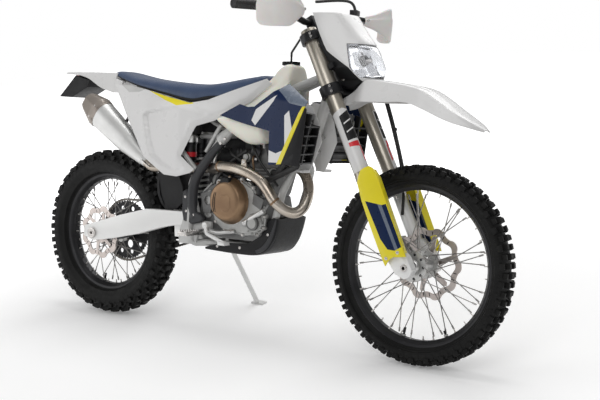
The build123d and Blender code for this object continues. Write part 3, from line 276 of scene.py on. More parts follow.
class Soup:
    """Collects solids with their materials, then makes one mesh."""

    def __init__(self):
        self.verts, self.faces, self.picks, self.materials = [], [], [], []

    def add(self, verts, faces, material):
        """Take in one solid in one finish."""
        if material not in self.materials:
            self.materials.append(material)
        start = len(self.verts)
        self.verts += [Vector(v) for v in verts]
        self.faces += [[start + i for i in face] for face in faces]
        self.picks += [self.materials.index(material)] * len(faces)

    def screw(self, origin, direction, radius, height):
        """A round-headed socket screw."""
        self.add(*turned(origin, direction, [(-1, radius), (height * 0.7, radius), (height, radius * 0.8),
                                             (height, radius * 0.45), (height * 0.45, radius * 0.4)], 14), STEEL)

    def bolt_circle(self, heart, out, count, phase, radius, sunk, tall, material):
        """Bosses with screws, evenly round a cover's edge."""
        for k in range(count):
            turn = 2 * pi * (k + phase) / count
            spot = heart + Vector((cos(turn) * radius, 0, sin(turn) * radius)) - out * sunk
            self.add(*turned(spot, out, [(0, 8), (tall, 8), (tall + 1.5, 7)], 14), material)
            self.screw(spot + out * (tall - 1), out, 4.6, 4)

    def make(self, name, body, replaces=(), smooth=35):
        """The one mesh, riding on its body."""
        return mesh_piece(name, self.verts, self.faces, body, self.materials, replaces, smooth, self.picks)


def rings(rows, closed=True):
    """Faces joining rows of equal length into a skin."""
    verts = [point for row in rows for point in row]
    size = len(rows[0])
    faces = []
    for r in range(len(rows) - 1):
        for i in range(size if closed else size - 1):
            j = (i + 1) % size
            faces.append([r * size + i, r * size + j, (r + 1) * size + j, (r + 1) * size + i])
    if closed:
        faces.append(list(range(size))[::-1])
        faces.append([(len(rows) - 1) * size + i for i in range(size)])
    return verts, faces


def frame_of(direction):
    """Three square directions, of which the third is the given one."""
    z = direction.normalized()
    hint = Vector((0, 0, 1)) if abs(z.z) < 0.95 else Vector((1, 0, 0))
    x = hint.cross(z).normalized()
    return x, z.cross(x), z


def turned(origin, direction, profile, steps):
    """A lathed solid: profile of (distance along, radius)."""
    x, y, z = frame_of(Vector(direction))
    rows = []
    for along, radius in profile:
        rows.append([Vector(origin) + z * along + (x * cos(2 * pi * i / steps) + y * sin(2 * pi * i / steps)) * radius
                     for i in range(steps)])
    return rings(rows)


def mirrored(half):
    """Points from the middle out to the left, led by their mirror image from the right."""
    return [Vector((p.x, -p.y, p.z)) for p in reversed(half)] + half[1:]


def spaced(first, last, count):
    """Evenly spaced values from first to last."""
    return [first + (last - first) * k / count for k in range(count + 1)]


def round_ends(x, first, last, reach, least):
    """A share that falls from 1 to least at both ends of a span, along quarter circles."""
    near = min(1, (x - first) / reach, (last - x) / reach)
    return least + (1 - least) * sqrt(max(0.0, 1 - (1 - near) ** 2))


def stacked(outline, heights, widths=(1, 1, 1, 1)):
    """A plan outline carried up through heights, at a share of its width in each."""
    return rings([[Vector((x, y * wide, z)) for x, y in outline] for z, wide in zip(heights, widths)])


def clipped_box(back, front, half, side, nose, tail):
    """A plan rectangle with clipped corners that stand nose and tail beyond its ends."""
    return [(back, -half), (front, -half), (front + nose, side - half), (front + nose, half - side), (front, half),
            (back, half), (back - tail, half - side), (back - tail, side - half)]


def smooth_line(points, steps):
    """A smooth line through points, with steps from one to the next."""
    points = [Vector(p) for p in points]
    line = []
    for i in range(len(points) - 1):
        a, b = points[max(i - 1, 0)], points[i]
        c, d = points[i + 1], points[min(i + 2, len(points) - 1)]
        for s in range(steps):
            t = s / steps
            line.append(0.5 * ((2 * b) + (c - a) * t + (2 * a - 5 * b + 4 * c - d) * t * t
                               + (3 * b - a - 3 * c + d) * t ** 3))
    return line + [points[-1]]


def hose(points, radius, steps, sides):
    """A tube along a smooth line; radius may be one number or one per point."""
    line = smooth_line(points, steps)
    count = len(line)
    rows = []
    x = None
    for i, point in enumerate(line):
        ahead = (line[min(i + 1, count - 1)] - line[max(i - 1, 0)]).normalized()
        if x is None:
            x = frame_of(ahead)[0]
        x = (x - ahead * x.dot(ahead)).normalized()
        y = ahead.cross(x)
        size = radius if isinstance(radius, (int, float)) else radius[min(i // steps, len(radius) - 1)]
        rows.append([point + (x * cos(2 * pi * k / sides) + y * sin(2 * pi * k / sides)) * size
                     for k in range(sides)])
    return rings(rows)


def plate(outline, inner, outer, chamfer):
    """A side-view outline extruded from y = inner to y = outer, with chamfered edges."""
    area = sum(a[0] * b[1] - b[0] * a[1] for a, b in zip(outline, outline[1:] + outline[:1]))
    pts = outline if area > 0 else outline[::-1]
    size = len(pts)
    inset = []
    for i in range(size):
        a, b, c = Vector(pts[i - 1]), Vector(pts[i]), Vector(pts[(i + 1) % size])
        first, second = (b - a).normalized(), (c - b).normalized()
        way = Vector((-first.y, first.x)) + Vector((-second.y, second.x))
        way = way.normalized() / max(0.4, way.normalized().dot(Vector((-first.y, first.x))))
        inset.append(b + way * chamfer)
    step = chamfer if outer > inner else -chamfer
    rows = []
    for loop, y in ((inset, inner), (pts, inner + step), (pts, outer - step), (inset, outer)):
        rows.append([Vector((p[0], y, p[1])) for p in loop])
    return rings(rows)


def dress(node, material, width):
    """A copy of a CAD node's shape with eased edges and its finish, which stands for the node."""
    source = NODES[node]
    bm = bmesh.new()
    bm.from_mesh(source.data)
    bmesh.ops.remove_doubles(bm, verts=bm.verts, dist=1e-6)
    bmesh.ops.dissolve_limit(bm, angle_limit=radians(0.6), verts=bm.verts, edges=bm.edges)
    edges = [e for e in bm.edges if len(e.link_faces) == 2 and e.calc_face_angle(0) > radians(28)]
    bmesh.ops.bevel(bm, geom=edges, offset=width / 1000, segments=2, profile=0.6, affect="EDGES",
                    clamp_overlap=True)
    mesh = bpy.data.meshes.new(node + "_dressed")
    bm.to_mesh(mesh)
    bm.free()
    place_mesh(mesh, mesh.name, source.parent.name.replace("body:", ""), [material], (node,), 40)


# ---- floor and light -------------------------------------------------------
def calculate(tree, operation, first, second):
    """The outcome of one step of node arithmetic."""
    node = tree.nodes.new("ShaderNodeMath")
    node.operation = operation
    return feed(tree, node, {0: first, 1: second})[0]


def seen_by(tree, *kinds):
    """1 for the given kinds of ray, and 0 for the others."""
    rays = tree.nodes.new("ShaderNodeLightPath").outputs
    seen = rays[kinds[0]]
    for kind in kinds[1:]:
        seen = calculate(tree, "MAXIMUM", seen, rays[kind])
    return seen


GLOW_FROM, GLOW_FULL = 1.2, 3.2


def make_floor():
    """A floor that fades to the studio's white away from the bike, wherever it is looked at."""
    mesh = bpy.data.meshes.new("floor")
    mesh.from_pydata([(-9, -9, 0), (9, -9, 0), (9, 9, 0), (-9, 9, 0)], [], [(0, 1, 2, 3)])
    floor = bpy.data.objects.new("floor", mesh)
    bpy.context.scene.collection.objects.link(floor)
    material, tree = material_tree("floor")
    reach = tree.nodes.new("ShaderNodeVectorMath")
    reach.operation = "LENGTH"
    far = feed(tree, reach, {0: tree.nodes.new("ShaderNodeTexCoord").outputs["Object"]})["Value"]
    glow = tree.nodes.new("ShaderNodeMapRange")
    glow.interpolation_type = "SMOOTHSTEP"
    glow = feed(tree, glow, {"Value": far, "From Min": GLOW_FROM, "From Max": GLOW_FULL,
                             "To Min": 0.17, "To Max": 1.0})["Result"]
    seen = seen_by(tree, "Is Camera Ray", "Is Glossy Ray", "Is Transmission Ray")
    feed(tree, tree.nodes["Principled BSDF"],
         {"Base Color": (0.95, 0.95, 0.95, 1), "Roughness": 0.9, "Specular IOR Level": 0.1,
          "Emission Color": (1, 1, 1, 1), "Emission Strength": calculate(tree, "MULTIPLY", glow, seen)})
    mesh.materials.append(material)


def make_light(name, place, target, size, power):
    """A softbox at a place, aimed at a target."""
    data = bpy.data.lights.new(name, "AREA")
    data.shape = "RECTANGLE"
    data.size, data.size_y = size
    data.energy = power
    lamp = bpy.data.objects.new(name, data)
    lamp.location = place
    lamp.rotation_mode = "QUATERNION"
    lamp.rotation_quaternion = (Vector(target) - Vector(place)).to_track_quat("-Z", "Y")
    bpy.context.scene.collection.objects.link(lamp)


def make_world():
    """A white world that is brighter to look at than it lights."""
    world = bpy.data.worlds.new("world")
    bpy.context.scene.world = world
    world.use_nodes = True
    tree = world.node_tree
    strength = feed(tree, tree.nodes.new("ShaderNodeMapRange"),
                    {"Value": seen_by(tree, "Is Camera Ray", "Is Transmission Ray"), "To Min": 0.36, "To Max": 1.0})
    feed(tree, tree.nodes["Background"], {"Color": (1, 1, 1, 1), "Strength": strength["Result"]})


make_floor()
make_world()
make_light("key", (1.6, -3.2, 3.4), (0, 0, 0.6), (2.2, 2.2), 41)
make_light("top", (0, 0.6, 3.6), (0, 0, 0), (3.0, 1.8), 50)
make_light("fill", (-2.8, -2.4, 1.6), (0, 0, 0.6), (2.0, 2.0), 20)
make_light("rim", (-0.5, 3.4, 2.6), (0, 0, 0.7), (3.0, 1.6), 33)


# ---- skins from a side-view outline ----------------------------------------
def lines_between(rows, x, z):
    """The y of a faceted surface given by rows of (x, [(y, z), ...]) from top to bottom."""
    def at_row(points):
        if z >= points[0][1]:
            return points[0][0]
        for (ya, za), (yb, zb) in zip(points, points[1:]):
            if z >= zb:
                return yb + (ya - yb) * (z - zb) / (za - zb)
        return points[-1][0]
    if x <= rows[0][0]:
        return at_row(rows[0][1])
    for (xa, first), (xb, second) in zip(rows, rows[1:]):
        if x <= xb:
            t = (x - xa) / (xb - xa)
            return at_row(first) * (1 - t) + at_row(second) * t
    return at_row(rows[-1][1])


def eased(rows, x, z, reach):
    """The same surface with its creases rounded over a reach."""
    total = 0
    for dx in (-1, -0.5, 0, 0.5, 1):
        for dz in (-1, -0.5, 0, 0.5, 1):
            total += lines_between(rows, x + dx * reach, z + dz * reach)
    return total / 25


def cut(bm, a, b):
    """Slice the flat mesh along the line through two points."""
    way = Vector((b[0] - a[0], 0, b[1] - a[1])).normalized()
    bmesh.ops.bisect_plane(bm, geom=bm.verts[:] + bm.edges[:] + bm.faces[:], dist=1e-4,
                           plane_co=(a[0], 0, a[1]), plane_no=(-way.z, 0, way.x))


def inside(polygon, x, z):
    """Whether a point is inside a side-view polygon."""
    result = False
    for (xa, za), (xb, zb) in zip(polygon, polygon[1:] + polygon[:1]):
        if (za > z) != (zb > z) and x < (xb - xa) * (z - za) / (zb - za) + xa:
            result = not result
    return result


def flat_sheet(outline, polygons, columns, rows):
    """A flat side-view sheet, cut along polygons and a grid so that it can be pressed to shape."""
    bm = bmesh.new()
    bm.faces.new([bm.verts.new((x, 0, z)) for x, z in outline])
    for polygon in polygons:
        for a, b in zip(polygon, polygon[1:] + polygon[:1]):
            cut(bm, a, b)
    for x in columns:
        cut(bm, (x, 0), (x, 1))
    for z in rows:
        cut(bm, (0, z), (1, z))
    bmesh.ops.remove_doubles(bm, verts=bm.verts, dist=0.2)
    return bm


def face_out(bm, way):
    """Turn a sheet's faces to the left (1) or to the right (-1)."""
    bmesh.ops.recalc_face_normals(bm, faces=bm.faces)
    if sum(f.normal.y for f in bm.faces) * way < 0:
        bmesh.ops.reverse_faces(bm, faces=bm.faces)


def sheet_piece(bm, name, body, materials, replaces, wall, edge):
    """Make a pressed sheet a piece with a wall behind it."""
    mesh = bpy.data.meshes.new(name)
    bm.to_mesh(mesh)
    bm.free()
    mesh.transform(MM)
    picks = [face.material_index for face in mesh.polygons]
    thicken(place_mesh(mesh, name, body, materials, replaces, 30, picks), wall, edge=edge)


def skin(name, outline, depth_at, materials, replaces, areas, step):
    """A pair of pressed panels cut to a side-view outline, with their colour areas cut in."""
    xs, zs = zip(*outline)
    bm = flat_sheet(outline, [polygon for polygon, _ in areas],
                    range(min(xs) + step, max(xs), step), range(min(zs) + step, max(zs), step))
    for face in bm.faces:
        centre = face.calc_center_median()
        for polygon, pick in areas:
            if inside(polygon, centre.x, centre.z):
                face.material_index = pick
    for vert in bm.verts:
        vert.co.y = depth_at(vert.co.x, vert.co.z)
    face_out(bm, -1)
    left = bm.copy()
    for vert in left.verts:
        vert.co.y = -vert.co.y
    bmesh.ops.reverse_faces(left, faces=left.faces)
    for half, side in ((bm, "_right"), (left, "_left")):
        sheet_piece(half, name + side, "frame", materials, replaces, 0.0036, 0.0009)


# ---- side panels: each row is (x, [(y, z) from top to bottom]) --------------
PANEL_ROWS = [
    (-660, [(-104, 1010), (-110, 930), (-146, 590)]), (-430, [(-104, 1010), (-111, 938), (-140, 850), (-164, 590)]),
    (-256, [(-104, 1010), (-113, 897), (-150, 868), (-158, 590)]),
    (-171, [(-104, 1010), (-111, 898), (-144, 855), (-150, 590)]),
    (0, [(-95, 1010), (-99, 950), (-112, 900), (-134, 590)]), (140, [(-84, 1010), (-94, 940), (-120, 590)])]
PANEL_EDGE = [(-613, 918), (-640, 958), (-560, 958), (-464, 940), (-333, 910), (-226, 890), (-140, 903), (0, 948),
              (120, 984), (138, 966), (53, 897), (-46, 850), (-95, 825), (-176, 802), (-186, 788), (-243, 685),
              (-179, 637), (-190, 622), (-251, 606), (-315, 610), (-425, 673)]
PANEL_DISH = [(-448, 836), (-432, 850), (-285, 872), (-204, 884), (-120, 850), (-139, 838), (-203, 818), (-231, 735),
              (-258, 703), (-258, 682), (-217, 636), (-251, 622), (-330, 650), (-387, 684), (-418, 744)]

PANEL_LIP = [(138, 966), (53, 897), (-46, 850), (-95, 825), (-176, 802), (-188, 788), (-243, 685), (-179, 637)]


def panel_depth(x, z):
    """The panel's face: eased crease, a dish behind the crease line, and a front edge that rolls in."""
    depth = eased(PANEL_ROWS, x, z, 7)
    spot = Vector((x, z))
    near = 99
    for a, b in zip(PANEL_LIP, PANEL_LIP[1:]):
        a, b = Vector(a), Vector(b)
        share = max(0, min(1, (spot - a).dot(b - a) / (b - a).length_squared))
        near = min(near, (spot - a - (b - a) * share).length)
    depth += 11 * max(0, 1 - near / 19)
    fade = max(0.25, min(1, 1 - (x + 450) / 260))
    total = 0
    for dx in (-4, -1, 1, 4):
        for dz in (-4, -1, 1, 4):
            total += inside(PANEL_DISH, x + dx, z + dz)
    return depth + 17 * fade * total / 16


skin("side_panel", PANEL_EDGE, panel_depth, [WHITE, YELLOW, FRAME], ("side_panels",),
     [([(-446, 946), (-440, 934), (-354, 899), (-281, 879), (-204, 887), (-226, 900), (-333, 925)], 1),
      ([(-618, 968), (-560, 966), (-452, 944), (-500, 930), (-556, 928)], 2)], 8)

# ---- shrouds ---------------------------------------------------------------
SHROUD_ROWS = [
    (-60, [(-136, 1000), (-152, 860), (-154, 640)]), (100, [(-130, 1000), (-164, 900), (-172, 640)]),
    (230, [(-130, 1000), (-190, 935), (-205, 640)]), (310, [(-120, 1000), (-205, 905), (-215, 640)]),
    (400, [(-120, 1000), (-214, 893), (-218, 640)])]
SHROUD_EDGE = [(-46, 845), (53, 888), (95, 878), (130, 880), (250, 945), (274, 963), (392, 900), (382, 879),
               (285, 679), (224, 674), (218, 794), (98, 813)]
# The fourth area, along the top facet, is coloured blue-grey as a painted highlight on the navy.
skin("shroud", SHROUD_EDGE, lambda x, z: eased(SHROUD_ROWS, x, z, 4),
     [NAVY, WHITE, YELLOW, NAVY_PAINTED_HIGHLIGHT], ("radiator_shrouds",),
     [([(250, 945), (274, 963), (400, 905), (390, 880), (313, 893), (250, 938)], 3),
      ([(140, 812), (232, 900), (246, 922), (140, 870), (118, 830)], 1),
      ([(221, 726), (258, 716), (296, 730), (276, 683), (222, 683)], 1),
      ([(290, 850), (312, 868), (330, 800), (300, 720)], 1),
      ([(356, 860), (372, 882), (390, 884), (288, 672), (262, 676)], 2)], 13)


# ---- tyres -----------------------------------------------------------------
def spun(centre, angle, radius, y):
    """A point on a circle about an axle."""
    return Vector((centre.x + radius * cos(angle), y, centre.z + radius * sin(angle)))


def axle_ring(centre, profile, steps, flipped=False):
    """A closed profile of (y, radius) turned about an axle."""
    verts = [spun(centre, 2 * pi * k / steps, r, y) for k in range(steps) for y, r in profile]
    size = len(profile)
    faces = []
    for k in range(steps):
        here, there = k * size, (k + 1) % steps * size
        for i in range(size):
            j = (i + 1) % size
            faces.append([here + i, here + j, there + j, there + i] if flipped else
                         [here + i, there + i, there + j, here + j])
    return verts, faces


def knob(soup, centre, turn, width_turn, y, half, base, top, lean, skew=0.0):
    """A chamfered tread block: base and top are radii at the block, lean tips its top outward."""
    rows = []
    for share, radius in ((1.0, base), (0.97, base + (top - base) * 0.8), (0.8, top)):
        rows.append([spun(centre, turn + (su * share + skew * sv) * width_turn, radius,
                          y + sv * half * share + lean * (radius - base))
                     for su, sv in ((-1, -1), (1, -1), (1, 1), (-1, 1))])
    soup.add(*rings(rows), TYRE)


def tyre(name, centre, radius, half_width, crown, flange, rim_half, rows_count, body, replaces):
    """A knobby tyre: carcass with a moulded sidewall and rows of chamfered blocks."""
    def crown_at(y):
        return radius - crown + sqrt(crown ** 2 - y ** 2)
    depth = 14
    soup = Soup()
    tread = [(y * half_width, crown_at(y * half_width) - depth) for y in (0, 0.25, 0.45, 0.62, 0.78, 0.9)]
    low = flange + 1.5
    edge_r = tread[-1][1]
    swell = max(half_width, rim_half + 12)
    wall = [(half_width * 0.985, edge_r - 7), (swell, edge_r - 18), (swell * 0.985, (edge_r + low) / 2 + 2),
            (swell * 0.955, (edge_r + low) / 2 - 3), (rim_half + (swell - rim_half) * 0.62, low + 13),
            (rim_half + (swell - rim_half) * 0.60, low + 9.5), (rim_half + 4.5, low + 3), (rim_half + 2.5, low),
            (rim_half - 2, low - 1)]
    side = tread + wall
    profile = [(-y, r) for y, r in reversed(side)] + side[1:]
    soup.add(*axle_ring(centre, profile, 120), TYRE)
    pitch = 2 * pi / rows_count
    for row in range(rows_count):
        turn = pitch * row
        if row % 2 == 0:
            for y, half, long in ((0, 0.25, 0.34), (0.62, 0.13, 0.30), (-0.62, 0.13, 0.30)):
                top = crown_at(abs(y) * half_width)
                knob(soup, centre, turn, pitch * long, y * half_width, half * half_width, top - depth - 3, top - 0.3,
                     0.2 * y)
        else:
            for y, half, long in ((0.34, 0.16, 0.32), (-0.34, 0.16, 0.32), (0.87, 0.12, 0.36), (-0.87, 0.12, 0.36)):
                top = crown_at(abs(y) * half_width)
                knob(soup, centre, turn, pitch * long, y * half_width, half * half_width, top - depth - 4,
                     top - (0.3 if abs(y) < 0.5 else 1.5), 0.12 * y, 0.06 if y > 0 else -0.06)
        rib = edge_r - 20
        for way in (-1, 1):
            soup.add(*rings([
                [spun(centre, turn + su * pitch * wide, r, way * y)
                 for su, r, y in ((-1, low_r, low_y), (1, low_r, low_y), (1, edge_r, high_y), (-1, edge_r, high_y))]
                for wide, low_r, low_y, high_y in ((0.12, rib, swell - 2, half_width * 0.97),
                                                   (0.1, rib + 3, swell + 0.5, half_width * 0.995))]), TYRE)
    soup.make(name, body, replaces, 28)


tyre("tyre_front", FRONT, radius=349, half_width=44, crown=62, flange=281, rim_half=23, rows_count=68,
     body="front_wheel", replaces=("front_tyre",))
tyre("tyre_rear", REAR, radius=345, half_width=60, crown=75, flange=242, rim_half=30, rows_count=66,
     body="rear_wheel", replaces=("rear_tyre",))


# ---- rims ------------------------------------------------------------------
def rim(name, centre, flange, half, body, replaces):
    """A rolled rim with rounded flanges, a dropped well, nipples and its two stems."""
    outside = [(half, flange - 1), (half + 1.2, flange + 1), (half, flange + 2), (half - 1.8, flange + 1),
               (half - 3, flange - 7), (half - 4, flange - 9.5), (half * 0.62, flange - 11), (half * 0.4, flange - 17)]
    inside_line = [(half * 0.42, flange - 21), (half * 0.66, flange - 15.5), (half - 4.5, flange - 13),
                   (half - 0.5, flange - 9)]
    profile = outside + [(-y, r) for y, r in reversed(outside)] + [(-y, r) for y, r in reversed(inside_line)]
    profile += inside_line
    soup = Soup()
    soup.add(*axle_ring(centre, profile, 144, flipped=True), DARK_METAL)
    for k in range(36):
        turn = 2 * pi * (k + 0.5) / 36
        soup.add(*turned(spun(centre, turn, flange - 35, 4.5 if k % 2 else -4.5), (cos(turn), 0, sin(turn)),
                         [(0, 2.3), (10, 2.6), (10.5, 3.6), (15, 3.8)], 8), STEEL)
    for turn, radius, long in ((radians(-102), 4.0, 34), (radians(-64), 4.4, 24)):
        inward = (-cos(turn), 0, -sin(turn))
        soup.add(*turned(spun(centre, turn, flange - 19, 0), inward, [
            (-4, radius + 3), (3, radius + 3), (3, radius), (long, radius), (long, radius * 0.6)], 12), BLACK)
        soup.add(*turned(spun(centre, turn, flange - 23, 0), inward, [(0, 7.5), (6, 7.5), (6, 4)], 6), CAST)
    soup.make(name, body, replaces, 30)


rim("rim_front", FRONT, flange=281, half=23, body="front_wheel", replaces=("front_rim",))
rim("rim_rear", REAR, flange=242, half=30, body="rear_wheel", replaces=("rear_rim",))

# ---- seat ------------------------------------------------------------------
# (x, top, lower edge, half width)
SEAT_STATIONS = [(-690, 1019, 1000, 62), (-650, 1014, 985, 74), (-540, 992, 954, 99), (-380, 975, 920, 109),
                 (-227, 966, 891, 111), (-140, 968, 904, 107), (0, 990, 909.5, 90), (95, 1003, 979, 62)]


def along_stations(stations, x):
    """Smoothly blended station values at x."""
    if x <= stations[0][0]:
        return stations[0][1:]
    if x >= stations[-1][0]:
        return stations[-1][1:]
    for i in range(len(stations) - 1):
        if x <= stations[i + 1][0]:
            break
    a, b = stations[max(i - 1, 0)], stations[i]
    c, d = stations[i + 1], stations[min(i + 2, len(stations) - 1)]
    t = (x - b[0]) / (c[0] - b[0])
    result = []
    for k in range(1, len(b)):
        m1 = (c[k] - a[k]) / (c[0] - a[0]) * (c[0] - b[0])
        m2 = (d[k] - b[k]) / (d[0] - b[0]) * (c[0] - b[0])
        result.append((2 * t ** 3 - 3 * t * t + 1) * b[k] + (t ** 3 - 2 * t * t + t) * m1
                      + (-2 * t ** 3 + 3 * t * t) * c[k] + (t ** 3 - t * t) * m2)
    return result


def padded_seat():
    """A crowned foam seat: soft shoulders, a cover rolled in over its black base, and piping."""
    rows = []
    first, last = SEAT_STATIONS[0][0], SEAT_STATIONS[-1][0]
    for x in spaced(first, last, 75):
        top, low, half = along_stations(SEAT_STATIONS, x)
        nose = round_ends(x, first, last, 26, 0.55)
        high = (top - low) * nose
        loop = []
        for share, rise_share in ((0, 1.0), (0.3, 0.995), (0.55, 0.975), (0.72, 0.93), (0.84, 0.85), (0.93, 0.71),
                                  (0.985, 0.52), (1.0, 0.36), (0.992, 0.2), (0.975, 0.12), (0.95, 0.04), (0.90, 0.0)):
            swell = 1 - 0.012 * sin(pi * share) * (0.3 < rise_share < 0.9)
            loop.append(Vector((x, share * half * (0.9 + 0.1 * nose) * swell, low + rise_share * high)))
        rows.append(mirrored(loop))
    verts, faces = rings(rows)
    # The lowest three strips each side are the black base, whose top edge the piping follows.
    size, base = len(rows[0]), 3
    picks = [int(i < base or i >= size - base - 1) for _ in rows[1:] for i in range(size)] + [0, 0]
    pad = mesh_piece("seat_pad", verts, faces, "frame", [SEAT, BLACK], ("seat",), 50, picks)
    soften(pad)
    soup = Soup()
    for way, spot in ((-1, base), (1, size - base - 1)):
        soup.add(*hose([ring[spot] + Vector((0, way * 0.4, 0)) for ring in rows[3:-3:3]], 1.3, 3, 8), BLACK)
    soup.make("seat_piping", "frame")


padded_seat()


# ---- hubs, spokes and discs ------------------------------------------------
def hub(name, centre, half, right, left, lead, reach, body, replaces):
    """A machined hub: waisted barrel, pierced flanges, bearings, and crossed spokes with bent heads.

    The flanges stand at right and left of the middle, and the spokes reach the rim lead degrees on.
    """
    soup = Soup()
    axis = Vector((0, 1, 0))
    profile = [(-half, 14), (-half, 21), (-half + 2, 24), (-half + 8, 25.5), (right - 6, 26), (right - 5, 53),
               (right - 3.5, 54), (right + 3.5, 54), (right + 5, 52), (right + 5, 34), (right + 14, 27), (-6, 22),
               (6, 22), (left - 14, 26), (left - 5, 33), (left - 5, 49), (left - 3.5, 50), (left + 3.5, 50),
               (left + 5, 49), (left + 6, 26), (half - 8, 25.5), (half - 2, 24), (half, 21), (half, 14)]
    soup.add(*turned((centre.x, 0, centre.z), axis, profile, 48), BRIGHT)
    for way in (-1, 1):
        soup.add(*turned((centre.x, way * (half - 3), centre.z), axis * way, [(0, 20), (3.6, 20), (3.6, 13)], 32),
                 DARK_METAL)
    for k in range(9):
        turn = 2 * pi * k / 9
        for side_y, radius in ((right - 5.3, 42), (left + 5.3, 39)):
            way = -1 if side_y < 0 else 1
            soup.add(*turned(spun(centre, turn, radius, side_y - way * 0.2), axis * way, [(0, 5.2), (0.6, 4.6)], 12),
                     DARK_METAL)
    for side_y, radius in ((right, 48), (left, 44)):
        for index in range(18):
            turn = 2 * pi * (index + 0.5 * (side_y > 0)) / 18
            swing = radians(lead) * (1 if index % 2 else -1)
            offset = 6 if index % 2 else -6
            start = spun(centre, turn, radius, side_y + offset * 0.9)
            end = spun(centre, turn + swing, reach + 4, side_y * 0.12)
            near = spun(centre, turn + swing * 0.06, radius + 3, side_y + offset)
            soup.add(*hose([spun(centre, turn, radius, side_y - offset * 0.7), start, near,
                            near + (end - near) * 0.5, end], 1.9, 2, 7), SPOKE)
            aim = (end - near).normalized()
            soup.add(*turned(end - aim * 18, aim, [(0, 2.4), (3, 3.2), (16, 3.2)], 8), SPOKE)
    soup.make(name, body, replaces, 32)


hub("hub_front", FRONT, half=62, right=-48, left=40, lead=34, reach=245, body="front_wheel", replaces=("front_hub",))
hub("hub_rear", REAR, half=84, right=-56, left=50, lead=38, reach=206, body="rear_wheel", replaces=("rear_hub",))


def wave_disc(name, centre, radius, inner, body, replaces, waves):
    """A floating wave disc with slots, open carrier arms and six bolts."""
    soup = Soup()
    steps = waves * 24
    thick = 4
    verts, faces = [], []
    for y in (inner, inner + thick):
        for edge in ("outer", "inner"):
            for k in range(steps):
                turn = 2 * pi * k / steps
                wave = cos(waves * turn)
                if edge == "outer":
                    size = radius - 6 + 6 * (abs(wave) ** 0.6 * (1 if wave > 0 else -1))
                else:
                    size = radius - 28 + 5 * wave
                verts.append(spun(centre, turn, size, y))
    for k in range(steps):
        m = (k + 1) % steps
        for first, second, a, b in ((0, 1, k, m), (2, 3, m, k), (0, 2, m, k), (1, 3, k, m)):
            first, second = first * steps, second * steps
            faces.append([first + a, first + b, second + b, second + a])
    soup.add(verts, faces, DISC)
    mid = inner + thick / 2
    for k in range(waves):
        turn = 2 * pi * (k + 0.5) / waves
        for way in (-1, 1):
            face_y = inner if way < 0 else inner + thick
            for shift in (-0.12, 0.1):
                slot = [spun(centre, turn + shift + s * 0.022, radius - 21 + r, face_y + way * 0.15) for s, r in
                        ((-1, -6), (0.4, -7), (1, 5), (-0.4, 6))]
                low = [p - Vector((0, way * 0.3, 0)) for p in slot]
                soup.add(*rings([low, slot]), DARK_METAL)
    for k in range(6):
        turn = 2 * pi * k / 6 + 0.2
        arm = [spun(centre, turn + s, r, mid) for s, r in ((-0.30, 34), (0.02, radius - 34), (0.10, radius - 27),
                                                        (0.20, radius - 34), (0.22, 34))]
        soup.add(*rings([[p + Vector((0, y, 0)) for p in arm] for y in (-1.7, 1.7)]), DISC)
        for way in (-1, 1):
            soup.add(*turned(spun(centre, turn, 37, mid + way * 1.5), (0, way, 0),
                             [(0, 5), (2.5, 5), (3.2, 4), (3.2, 2.4), (1.6, 2)], 12), STEEL)
    verts, faces = turned((centre.x, mid - 1.8, centre.z), (0, 1, 0), [(0, 27), (0, 45), (3.6, 45), (3.6, 27)], 48)
    soup.add(verts, faces[:-2], DISC)
    soup.make(name, body, replaces, 30)


wave_disc("disc_front", FRONT, radius=130, inner=57, body="front_wheel", replaces=("front_disc",), waves=10)
wave_disc("disc_rear", REAR, radius=110, inner=-77, body="rear_wheel", replaces=("rear_disc",), waves=9)


# ---- fork: tubes with decals, guards ---------------------------------------
def leg_wrap(soup, left, low, high, start, end, material, radius, wall, cut_low, cut_high):
    """A thin skin wrapped on a fork tube, from one bearing angle to another; ends may be slanted."""
    axis = on_fork(TUBE_OFFSET, left, 0)
    steps = 18
    verts = []
    for r in (radius, radius + wall):
        for foot, slant in ((low, cut_low), (high, cut_high)):
            for s in range(steps + 1):
                share = s / steps
                turn = radians(start + (end - start) * share)
                out = AHEAD * cos(turn) + Vector((0, 1, 0)) * sin(turn)
                verts.append(axis + UP * (foot + slant * share) + out * r)
    n = steps + 1
    faces = []
    for s in range(steps):
        faces.append([2 * n + s, 2 * n + s + 1, 3 * n + s + 1, 3 * n + s])
        faces.append([s + 1, s, n + s, n + s + 1])
        faces.append([s, s + 1, 2 * n + s + 1, 2 * n + s])
        faces.append([n + s + 1, n + s, 3 * n + s, 3 * n + s + 1])
    faces += [[0, 2 * n, 3 * n, n], [n - 1, 2 * n - 1, 4 * n - 1, 3 * n - 1]]
    if end < start:
        faces = [face[::-1] for face in faces]
    soup.add(verts, faces, material)


